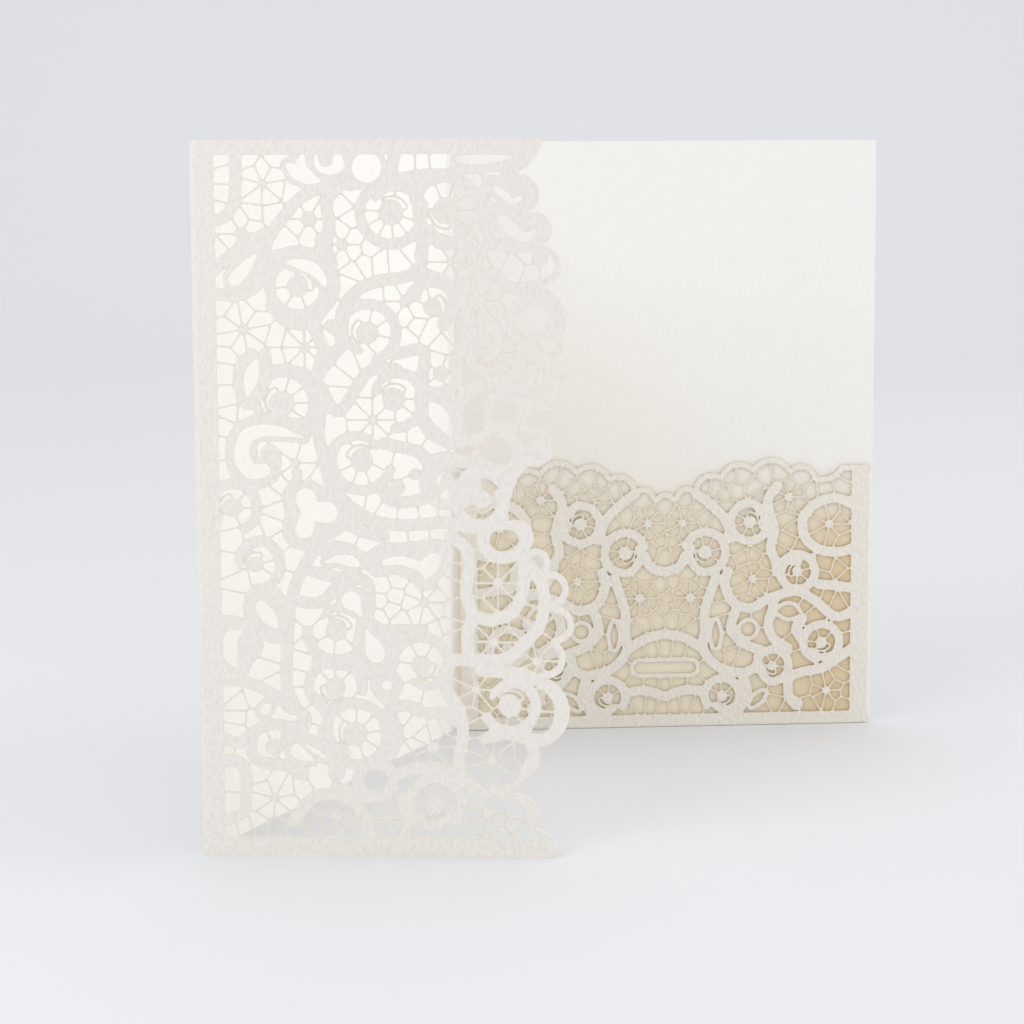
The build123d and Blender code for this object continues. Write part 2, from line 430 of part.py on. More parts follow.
def scallops(points):
    """The cubic for each arc from notch to notch, which stands out from its chord by its bulge: its
    two ends and the two handles between them."""
    cubics = []
    for (u0, v0, _), (u1, v1, bulge) in zip(points, points[1:]):
        du, dv = u1 - u0, v1 - v0
        lean = 4 * bulge / 3 / hypot(du, dv)
        reach = (1 - 4 * (bulge / hypot(du, dv)) ** 2) / 3
        first = (u0 + du * reach - dv * lean, v0 + dv * reach + du * lean)
        second = (u1 - du * reach - dv * lean, v1 - dv * reach + du * lean)
        cubics.append([(u0, v0), first, second, (u1, v1)])
    return cubics


def along(cubics):
    """Points along some cubics, for the drawing."""
    t = np.linspace(0, 1, 9)[:-1, None]
    return np.vstack([(1 - t) ** 3 * np.array(a) + 3 * t * (1 - t) ** 2 * np.array(b)
                      + 3 * t * t * (1 - t) * np.array(c) + t ** 3 * np.array(d) for a, b, c, d in cubics])


def step(start, heading, length):
    """The point a length away from another, in a direction in degrees from +X."""
    return (start[0] + length * cos(radians(heading)), start[1] + length * sin(radians(heading)))


def panel_plane(origin, heading):
    """A panel's own plane: u along the panel, v up, and its normal towards -Y."""
    along = (cos(radians(heading)), sin(radians(heading)), 0)
    towards = (sin(radians(heading)), -cos(radians(heading)), 0)
    return Plane(origin=(*origin, 0), x_dir=along, z_dir=towards)


# The plan of the folded sheet: flap, spine, middle panel, second spine and back panel
score_radius = bend_radius + card / 2              # of a bend, at the middle of the board
flap_turn = (180 - flap_angle) / 2                 # at each of a spine's two scores
back_turn = (180 - back_angle) / 2
middle_heading = flap_heading + flap_angle
back_heading = middle_heading - 2 * back_turn
stub = flap_border / 2                             # as much of the flap as the plan carries
spine_front = (0.0, 0.0)
spine_back = step(spine_front, flap_heading + 180 - flap_turn, spine_width)
middle_end = step(spine_back, middle_heading, panel_width)
back_start = step(middle_end, middle_heading - back_turn, spine_width)
back_end = step(back_start, back_heading, panel_width)
plan = FilletPolyline(step(spine_front, flap_heading, stub), spine_front, spine_back, middle_end,
                      back_start, back_end, radius=score_radius)
walls = extrude(make_face(offset(plan, card / 2, side=Side.BOTH, kind=Kind.INTERSECTION)), panel_height)

# The flap: a lace plate with plain borders and a scalloped free edge
flap_low, flap_high = (flap_border, foot_border), (flap_width, panel_height - head_border)
drawn_head, drawn_foot = (85.0, 178.0, 0), (87.0, 0, flap_corner_bulge)
drawn_arcs = scallops([drawn_head, *flap_edge, drawn_foot])
grid = np.meshgrid(np.arange(-margin, 95, cell), np.arange(-margin, 180, cell))
inside = np.minimum(grid[0] - flap_drawn[0], np.minimum(grid[1] - flap_drawn[1], flap_drawn[3] - grid[1]))
outline = to_outline(grid, np.vstack([[(0, 0), (0, 178)], along(drawn_arcs), [drawn_foot[:2]]]))
flap_field = lace_field(grid, inside, outline, flap_tapes, flap_holes, flap_wheels, flap_scrolls)
flap_arcs = [fitted(arc, flap_drawn, flap_low, flap_high) for arc in drawn_arcs]
flap_arcs[0][0] = (flap_head_width, panel_height)
flap_arcs[-1][3] = (flap_foot_width, 0.0)
flap_outline = Wire([Line((stub, 0), (stub, panel_height)), Line((stub, panel_height), flap_arcs[0][0]),
                     *[Bezier(*arc) for arc in flap_arcs], Line(flap_arcs[-1][3], (stub, 0))])
flap_cuts = [Wire.make_polygon(fitted(corners, flap_drawn, flap_low, flap_high))
             for corners in window_polygons(flap_field)]
flap_plane = panel_plane(spine_front, flap_heading)
flap = extrude(flap_plane * Pos(0, 0, -card / 2) * Face(flap_outline, flap_cuts), card, flap_plane.z_dir)

# The turn-up along the back panel's foot, which replaces the panel's own lower edge there
back_plane = panel_plane(back_start, back_heading)
pocket_gap = card + glue_line                      # room behind the pocket, which its tabs fill
turn_radius = (pocket_gap + card) / 2              # at the middle of the board
turn_height = turn_radius + card / 2
pocket_span = panel_width - 2 * pocket_inset
foot_cut = Box(pocket_span, turn_height, 2 * card, align=(Align.MIN, Align.MIN, Align.CENTER))
walls -= back_plane * Pos(pocket_inset, 0, 0) * foot_cut
below = Rectangle(2 * turn_height, 4 * turn_height, align=(Align.MAX, Align.CENTER))
turn_section = (Circle(turn_height) - Circle(turn_height - card)) & below
turn_section = Plane.YZ * Pos(turn_height, turn_radius) * turn_section
turn_up = back_plane * Pos(pocket_inset, 0, 0) * extrude(turn_section, pocket_span)

# The pocket: a lace plate in front of the back panel, glued to it by a tab at each side
pocket_low = (pocket_side_border, pocket_foot_border)
pocket_high = (pocket_span - pocket_side_border, pocket_height)
drawn_span = pocket_drawn[0] + pocket_drawn[2]


def mirrored(strokes):
    """Strokes and their mirror images about the middle of the pocket."""
    return strokes + [[(drawn_span - point[0], *point[1:]) for point in stroke] for stroke in strokes]


far_edge = [(drawn_span - u, v, bulge) for (u, v, _), bulge in
            zip(reversed(pocket_edge), [pocket_dip_bulge, *[p[2] for p in reversed(pocket_edge[1:])]])]
drawn_arcs = scallops([*pocket_edge, *far_edge])
grid = np.meshgrid(np.arange(-margin, drawn_span + margin, cell), np.arange(-margin, 86, cell))
inside = np.minimum(np.minimum(grid[0], drawn_span - grid[0]) - pocket_drawn[0], grid[1] - pocket_drawn[1])
outline = to_outline(grid, np.vstack([[(0, 0), (0, 80)], along(drawn_arcs), [far_edge[-1][:2], (drawn_span, 80), (drawn_span, 0)]]))
wheels = pocket_wheels + [(drawn_span - u, *rest) for u, *rest in pocket_wheels]
scrolls = pocket_scrolls + [(drawn_span - u, v, hub, rim, count, 180 - start, 180 - end)
                            for u, v, hub, rim, count, start, end in pocket_scrolls]
pocket_field = lace_field(grid, inside, outline, mirrored(pocket_tapes), mirrored(pocket_holes), wheels, scrolls)
pocket_arcs = [fitted(arc, pocket_drawn, pocket_low, pocket_high) for arc in drawn_arcs]
left_foot, right_foot = (0, turn_height), (pocket_span, turn_height)
left_head, right_head = (0, pocket_height), (pocket_span, pocket_height)
pocket_outline = Wire([Line(left_foot, left_head), Line(left_head, pocket_arcs[0][0]),
                       *[Bezier(*arc) for arc in pocket_arcs], Line(pocket_arcs[-1][3], right_head),
                       Line(right_head, right_foot), Line(right_foot, left_foot)])
pocket_cuts = [Wire.make_polygon(fitted(corners, pocket_drawn, pocket_low, pocket_high))
               for corners in window_polygons(pocket_field)]
pocket_plane = back_plane * Pos(pocket_inset, 0, 2 * turn_radius - card / 2)
pocket = extrude(pocket_plane * Face(pocket_outline, pocket_cuts), card, back_plane.z_dir)
tab_height = pocket_height - turn_height - 2 * tab_relief
tab = Box(tab_width, tab_height, pocket_gap, align=(Align.MIN, Align.MIN, Align.MIN))
tabs = [back_plane * Pos(pocket_inset + u, turn_height + tab_relief, card / 2) * tab
        for u in (0, pocket_span - tab_width)]

# The whole sheet, with its origin at the middle of its box, at the foot. The lace leaves the box as
# it is, so the box is measured on the plain flap.
sheet = Part() + [walls, flap, turn_up, pocket, *tabs]
plain_flap = extrude(flap_plane * Pos(0, 0, -card / 2) * Face(flap_outline), card, flap_plane.z_dir)
box = (walls + plain_flap).bounding_box()
pocketfold = Pos(-(box.min.X + box.max.X) / 2, -(box.min.Y + box.max.Y) / 2, -box.min.Z) * sheet
pocketfold.label = "pocketfold"
os.makedirs("parts", exist_ok=True)
export_step(pocketfold, "parts/pocketfold.step")
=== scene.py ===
import math

import bpy
import numpy as np
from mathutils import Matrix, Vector
from mathutils.geometry import delaunay_2d_cdt


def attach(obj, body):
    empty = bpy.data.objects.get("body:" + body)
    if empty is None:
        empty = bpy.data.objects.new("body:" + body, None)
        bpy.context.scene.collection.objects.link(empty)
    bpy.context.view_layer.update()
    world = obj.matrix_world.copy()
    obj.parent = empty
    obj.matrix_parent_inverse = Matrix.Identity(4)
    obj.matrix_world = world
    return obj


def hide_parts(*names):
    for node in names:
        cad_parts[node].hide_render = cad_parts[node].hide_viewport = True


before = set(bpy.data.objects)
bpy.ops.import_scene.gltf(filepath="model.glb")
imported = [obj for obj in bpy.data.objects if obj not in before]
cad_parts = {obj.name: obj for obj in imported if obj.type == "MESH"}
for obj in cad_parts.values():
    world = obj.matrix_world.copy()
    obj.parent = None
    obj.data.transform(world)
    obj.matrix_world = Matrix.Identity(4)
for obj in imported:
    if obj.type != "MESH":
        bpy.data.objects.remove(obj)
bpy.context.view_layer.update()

# The flap: the front panel of the card sheet, cut by laser into lace, with plain strips at the
# spine, head and foot and a scalloped free edge. Flat tapes of uncut card run in scrolls, and thin
# bars bridge the ground between them. In millimetres: u from the spine, v from the foot.
sheet_height = 178.0
flap_reach, flap_start = 93.0, 2.45
flap_border, foot_border, head_border = 4.9, 4.8, 3.6
tape_half, scroll_half = 1.5, 1.3
rim_width, bar_width, edge_band = 1.3, 0.55, 1.6
seed_spacing, spacing_wave, wave_u, wave_v = 3.8, 0.12, 1.7, 2.9
least_room, least_window, uncut = 0.75, 0.35, -0.6
step = 0.25
margin = 2.0


def drawing_grid(width, height):
    """u and v of every point of a square grid that covers a panel and a margin round it."""
    return np.meshgrid(np.arange(-margin, width + margin, step),
                       np.arange(-margin, height + margin, step))


def window_of(u, v, reach):
    """The rows and columns of the grid within reach of a box of points."""
    low = (np.array([np.min(v), np.min(u)]) - reach + margin) / step
    high = (np.array([np.max(v), np.max(u)]) + reach + margin) / step
    return tuple(slice(max(int(a), 0), max(int(b) + 2, 0)) for a, b in zip(low, high))


def smooth_line(points, spacing=0.5):
    """A curve through given points: between two of them, the cubic whose slope at each end
    is half the difference of its neighbours."""
    p = np.array([q if len(q) == 3 else (*q, tape_half) for q in points], float)
    if len(p) == 1:
        return p
    p = np.vstack([2 * p[0] - p[1], p, 2 * p[-1] - p[-2]])
    line = []
    for a, b, c, d in zip(p, p[1:], p[2:], p[3:]):
        t = np.linspace(0, 1, int(np.hypot(*(c - b)[:2]) / spacing) + 3)[:, None]
        line.append(b + 0.5 * t * (c - a + t * (2 * a - 5 * b + 4 * c - d + t * (3 * (b - c) + d - a))))
    return np.vstack(line)


def distance_to_strokes(grid, strokes, reach=5.0):
    """At each grid point, the least of (distance to a stroke's middle - half its width there)."""
    u, v = grid
    field = np.full(u.shape, reach)
    for stroke in strokes:
        line = smooth_line(stroke)
        at = window_of(line[:, 0], line[:, 1], reach + line[:, 2].max())
        away = np.hypot(u[at][..., None] - line[:, 0], v[at][..., None] - line[:, 1]) - line[:, 2]
        field[at] = np.minimum(field[at], away.min(-1))
    return field


def within(ring, u, v):
    """Whether each point lies inside a closed outline: a level line from it towards greater u
    crosses an odd number of sides."""
    inside = np.zeros(u.shape, bool)
    for (u0, v0), (u1, v1) in zip(ring, np.roll(ring, -1, 0)):
        if v0 != v1:
            inside ^= ((v0 > v) != (v1 > v)) & (u < (u1 - u0) * (v - v0) / (v1 - v0) + u0)
    return inside


def distance_to_outline(grid, ring):
    """Distance to the nearest side of a closed outline, negative inside it."""
    u, v = grid
    nearest = np.full(u.shape, np.inf)
    for (u0, v0), (u1, v1) in zip(ring, np.roll(ring, -1, 0)):
        du, dv = u1 - u0, v1 - v0
        t = np.clip(((u - u0) * du + (v - v0) * dv) / (du * du + dv * dv), 0, 1)
        nearest = np.minimum(nearest, np.hypot(u - u0 - t * du, v - v0 - t * dv))
    return np.where(within(ring, u, v), -nearest, nearest)


def scalloped(points):
    """Points along arcs from notch to notch, each arc standing out from its chord by its bulge."""
    line = []
    for (u0, v0, _), (u1, v1, bulge) in zip(points, points[1:]):
        chord = math.hypot(u1 - u0, v1 - v0)
        turn = 2 * math.atan2(2 * bulge, chord)
        t = np.linspace(-1, 1, 2 + int(chord))[:-1]
        along = chord / 2 * np.sin(turn * t) / math.sin(turn)
        out = chord / 2 * (np.cos(turn * t) - math.cos(turn)) / math.sin(turn)
        du, dv = (u1 - u0) / chord, (v1 - v0) / chord
        line.append(np.stack([(u0 + u1) / 2 + du * along - dv * out,
                              (v0 + v1) / 2 + dv * along + du * out], 1))
    return np.vstack([*line, [points[-1][:2]]])


def ground_seeds(grid, room, seeds):
    """The middles of the windows: those given, then again and again the point with most room round
    it, until no point has enough. The spacing left round each waves a little across the sheet."""
    u, v = grid
    seeds = list(seeds)

    def leave_clear(seed_u, seed_v, clear):
        """No room within this distance of a seed."""
        at = window_of(seed_u, seed_v, clear)
        room[at][np.hypot(u[at] - seed_u, v[at] - seed_v) < clear] = -1

    for seed in seeds:
        leave_clear(*seed, seed_spacing)
    while room.max() > least_room:
        row, column = divmod(int(room.argmax()), room.shape[1])
        seed_u, seed_v = u[row, column], v[row, column]
        wave = math.sin(wave_u * seed_u + wave_v * seed_v)
        leave_clear(seed_u, seed_v, seed_spacing * (1 + spacing_wave * wave))
        seeds.append((seed_u, seed_v))
    return np.array(seeds)


def bars_between(grid, seeds, reach=6.0):
    """Distance of each grid point from the line midway between its two nearest seeds, and which
    seed is the nearest."""
    u, v = grid
    far = 1e3
    first, second = np.full(u.shape, far), np.full(u.shape, far)
    owner, other = np.zeros(u.shape, int), np.zeros(u.shape, int)
    for index, (seed_u, seed_v) in enumerate(seeds):
        at = window_of(seed_u, seed_v, reach)
        away = np.hypot(u[at] - seed_u, v[at] - seed_v)
        nearest, next_best = away < first[at], away < second[at]
        other[at] = np.where(nearest, owner[at], np.where(next_best, index, other[at]))
        second[at] = np.where(nearest, first[at], np.where(next_best, away, second[at]))
        owner[at] = np.where(nearest, index, owner[at])
        first[at] = np.where(nearest, away, first[at])
    apart = np.hypot(*(seeds[owner] - seeds[other]).transpose(2, 0, 1)) + 1e-9
    return (second ** 2 - first ** 2) / (2 * apart), owner


def arc_stroke(u, v, radius, bearing, half):
    """A stroke round a point, from its radius, bearing in degrees and half width along it."""
    angle = np.radians(bearing)
    return np.stack([u + radius * np.cos(angle), v + radius * np.sin(angle), half], 1)


scroll_lap, scroll_lead = 0.1, 12
closing_start, closing_turn, closing_step = 28, 94, 0.14
closing_room, closing_taper = 2.1, 0.35
crescent_start, crescent_turn = 10, 95
crescent_half, crescent_taper = 0.5, 0.4


def scroll(u, v, hub, rim, count, start, end):
    """The tape of one scroll: an arc outside its ring of windows, a lead longer at each end, which
    then closes in on the disc and narrows, and the crescent that it leaves open beside the disc."""
    way = 1 if end > start else -1
    share = np.linspace(0, 1, 8)
    outer = rim + scroll_half - scroll_lap
    closing = closing_step + (1 - closing_step) * share
    bearing = np.concatenate([start - scroll_lead * way + (end - start + 2 * scroll_lead * way) * share,
                              end + (closing_start + closing_turn * share) * way])
    radius = np.concatenate([outer + 0 * share, outer + (hub + closing_room - outer) * closing])
    half = np.concatenate([scroll_half + 0 * share, scroll_half * (1 - closing_taper * share)])
    beside = end + (crescent_start + crescent_turn * share) * way
    return (arc_stroke(u, v, radius, bearing, half),
            arc_stroke(u, v, hub + crescent_half, beside, crescent_half - crescent_taper * share))


def lace_field(grid, outline, inside, tapes, holes, wheels, scrolls):
    """How far each grid point is inside a window: positive in the windows, negative on the card.
    The ground between tapes, rims and discs is divided midway between the seeds of its windows."""
    u, v = grid
    rings = [(*wheel, wheel[-1] + 360) for wheel in wheels] + scrolls
    wound, crescents = zip(*[scroll(*ring) for ring in scrolls])
    cut_outs = distance_to_strokes(grid, holes)
    crescents = distance_to_strokes(grid, crescents)
    room = np.minimum.reduce([distance_to_strokes(grid, [*tapes, *wound]), -outline - edge_band,
                              cut_outs - rim_width, crescents - bar_width, inside])
    free = room.copy()
    seeds = []
    for hub_u, hub_v, hub, rim, count, start, end in rings:
        away = np.hypot(u - hub_u, v - hub_v)
        middle = (hub + rim) / 2
        free[away < middle] = -1
        room = np.minimum(room, away - hub)
        angles = np.radians(start + (end - start) * (np.arange(count) + 0.5) / count)
        seeds += zip(hub_u + middle * np.cos(angles), hub_v + middle * np.sin(angles))
    seeds = ground_seeds(grid, free, seeds)
    bars, owner = bars_between(grid, seeds)
    windows = np.minimum(room, bars - bar_width / 2)
    widest = np.full(len(seeds), -1.0)
    np.maximum.at(widest, owner.ravel(), windows.ravel())
    windows[widest[owner] < least_window] = uncut
    for axis in (0, 1, 0, 1):
        windows = 0.5 * windows + 0.25 * (np.roll(windows, 1, axis) + np.roll(windows, -1, axis))
    return np.maximum(windows, np.minimum(-np.minimum(cut_outs, crescents), inside))


def thinned(points, follows, slack, rounds=6, longest=2.5):
    """Outlines without the points that lie within slack of the line between their neighbours. A
    point goes only where both neighbours stay, so a few rounds take most of a straight side."""
    leads = np.zeros_like(follows)
    leads[follows] = np.arange(len(follows))
    alive = np.ones(len(points), bool)
    for _ in range(rounds):
        before, after = points[leads], points[follows]
        run = after - before
        length = np.hypot(*run.T) + 1e-9
        off = np.abs(run[:, 0] * (points - before)[:, 1] - run[:, 1] * (points - before)[:, 0]) / length
        off += 1e-7 * np.arange(len(points)) / len(points)
        off[~alive | (length > longest)] = np.inf
        drop = (off < slack) & (off < off[leads]) & (off < off[follows])
        follows[leads[drop]] = follows[drop]
        leads[follows[drop]] = leads[drop]
        alive &= ~drop
    number = np.cumsum(alive) - 1
    return points[alive], number[follows[alive]]


def window_outlines(field, slack=0.025):
    """The lines where a field on the grid is zero: points (u, v), and for each the index of the
    next one round its window. Each grid edge whose ends differ in sign carries one point, placed
    by proportion, and each of the 14 mixed patterns of a cell's corners joins its own edges."""
    inside = field > 0
    index, points = [], []
    total = 0
    for axis, (du, dv) in ((1, (1, 0)), (0, (0, 1))):
        ahead = np.roll(field, -1, axis)
        rows, columns = np.nonzero(inside != (ahead > 0))
        share = field[rows, columns] / (field[rows, columns] - ahead[rows, columns])
        points.append(np.stack([columns + share * du, rows + share * dv], 1) * step - margin)
        numbers = np.full(field.shape, -1)
        numbers[rows, columns] = total + np.arange(len(rows))
        total += len(rows)
        index.append(numbers)
    level, upright = index
    edges = {"bottom": level, "left": upright,
             "top": np.roll(level, -1, 0), "right": np.roll(upright, -1, 1)}
    corners = (inside * 1 + np.roll(inside, -1, 1) * 2 + np.roll(np.roll(inside, -1, 1), -1, 0) * 4
               + np.roll(inside, -1, 0) * 8)
    joins = {1: ["bottom left"], 2: ["right bottom"], 4: ["top right"], 8: ["left top"], 3: ["right left"],
             6: ["top bottom"], 12: ["left right"], 9: ["bottom top"], 14: ["left bottom"],
             13: ["bottom right"], 11: ["right top"], 7: ["top left"], 5: ["bottom left", "top right"],
             10: ["right bottom", "left top"]}
    follows = np.zeros(total, int)
    for pattern, pairs in joins.items():
        cells = corners == pattern
        for pair in pairs:
            start, end = pair.split()
            follows[edges[start][cells]] = edges[end][cells]
    return thinned(np.vstack(points), follows, slack)


def sample(field, u, v):
    """A grid field between its points, by proportion along both axes."""
    x, y = (u + margin) / step, (v + margin) / step
    i, j = x.astype(int), y.astype(int)
    x, y = x - i, y - j
    low = field[j, i] * (1 - x) + field[j, i + 1] * x
    high = field[j + 1, i] * (1 - x) + field[j + 1, i + 1] * x
    return low * (1 - y) + high * y


toasted, toasted_slack = 0.3, 0.06


def toast(field, u, v):
    """How far the laser browned the card at each point: 1 at a cut, fading to 0 at the width
    toasted from it."""
    return np.clip(1 + sample(field, u, v) / toasted, 0, 1)


def plate(ring, field):
    """Flat triangles of a plate with this outline and its windows cut out, as points and corners.
    A second line follows each window at the width that the laser toasts."""
    lines = [(ring, (np.arange(len(ring)) + 1) % len(ring)), window_outlines(field),
             window_outlines(field + toasted, toasted_slack)]
    every = np.zeros((0, 2))
    edges = []
    for points, follows in lines:
        edges += (np.stack([np.arange(len(points)), follows], 1) + len(every)).tolist()
        every = np.vstack([every, points])
    made = delaunay_2d_cdt(every.tolist(), edges, [], 0, 1e-6)
    flat, corners = np.array(made[0]), np.array(made[2])
    u, v = flat[corners].mean(1).T
    return flat, corners[within(ring, u, v) & (sample(field, u, v) < 0)]


# Where its lace lies: strokes through (u, v) or (u, v, half width), wheels as hub u, v, hub radius,
# rim radius, windows, turn, and scrolls as disc u, v, radius, rim, windows, bearings
flap_edge = [
    (85, 178, 0), (78.2, 169.6, 1.3), (81.9, 160.4, 3.8), (84.9, 152.2, 3.6), (84.6, 142.4, 4.5),
    (88.9, 129.2, 3.3), (87.5, 124.8, 1.2), (88.2, 117.4, 3.2), (84.6, 113.6, 1), (84.8, 107, 2.6),
    (81.3, 98.5, 4.2), (77.2, 92, -0.8), (76.1, 84.8, -0.4), (81, 77.5, 3.6), (85.6, 72.3, 2.9),
    (87.8, 63.6, 4.1), (88.2, 54.4, 4.1), (84.7, 45.6, 3.5), (83.3, 28.3, 7), (79.2, 19.9, 2),
    (77, 16.6, 0.6), (82.4, 7.6, 3.2), (87, 0, 2.2),
]
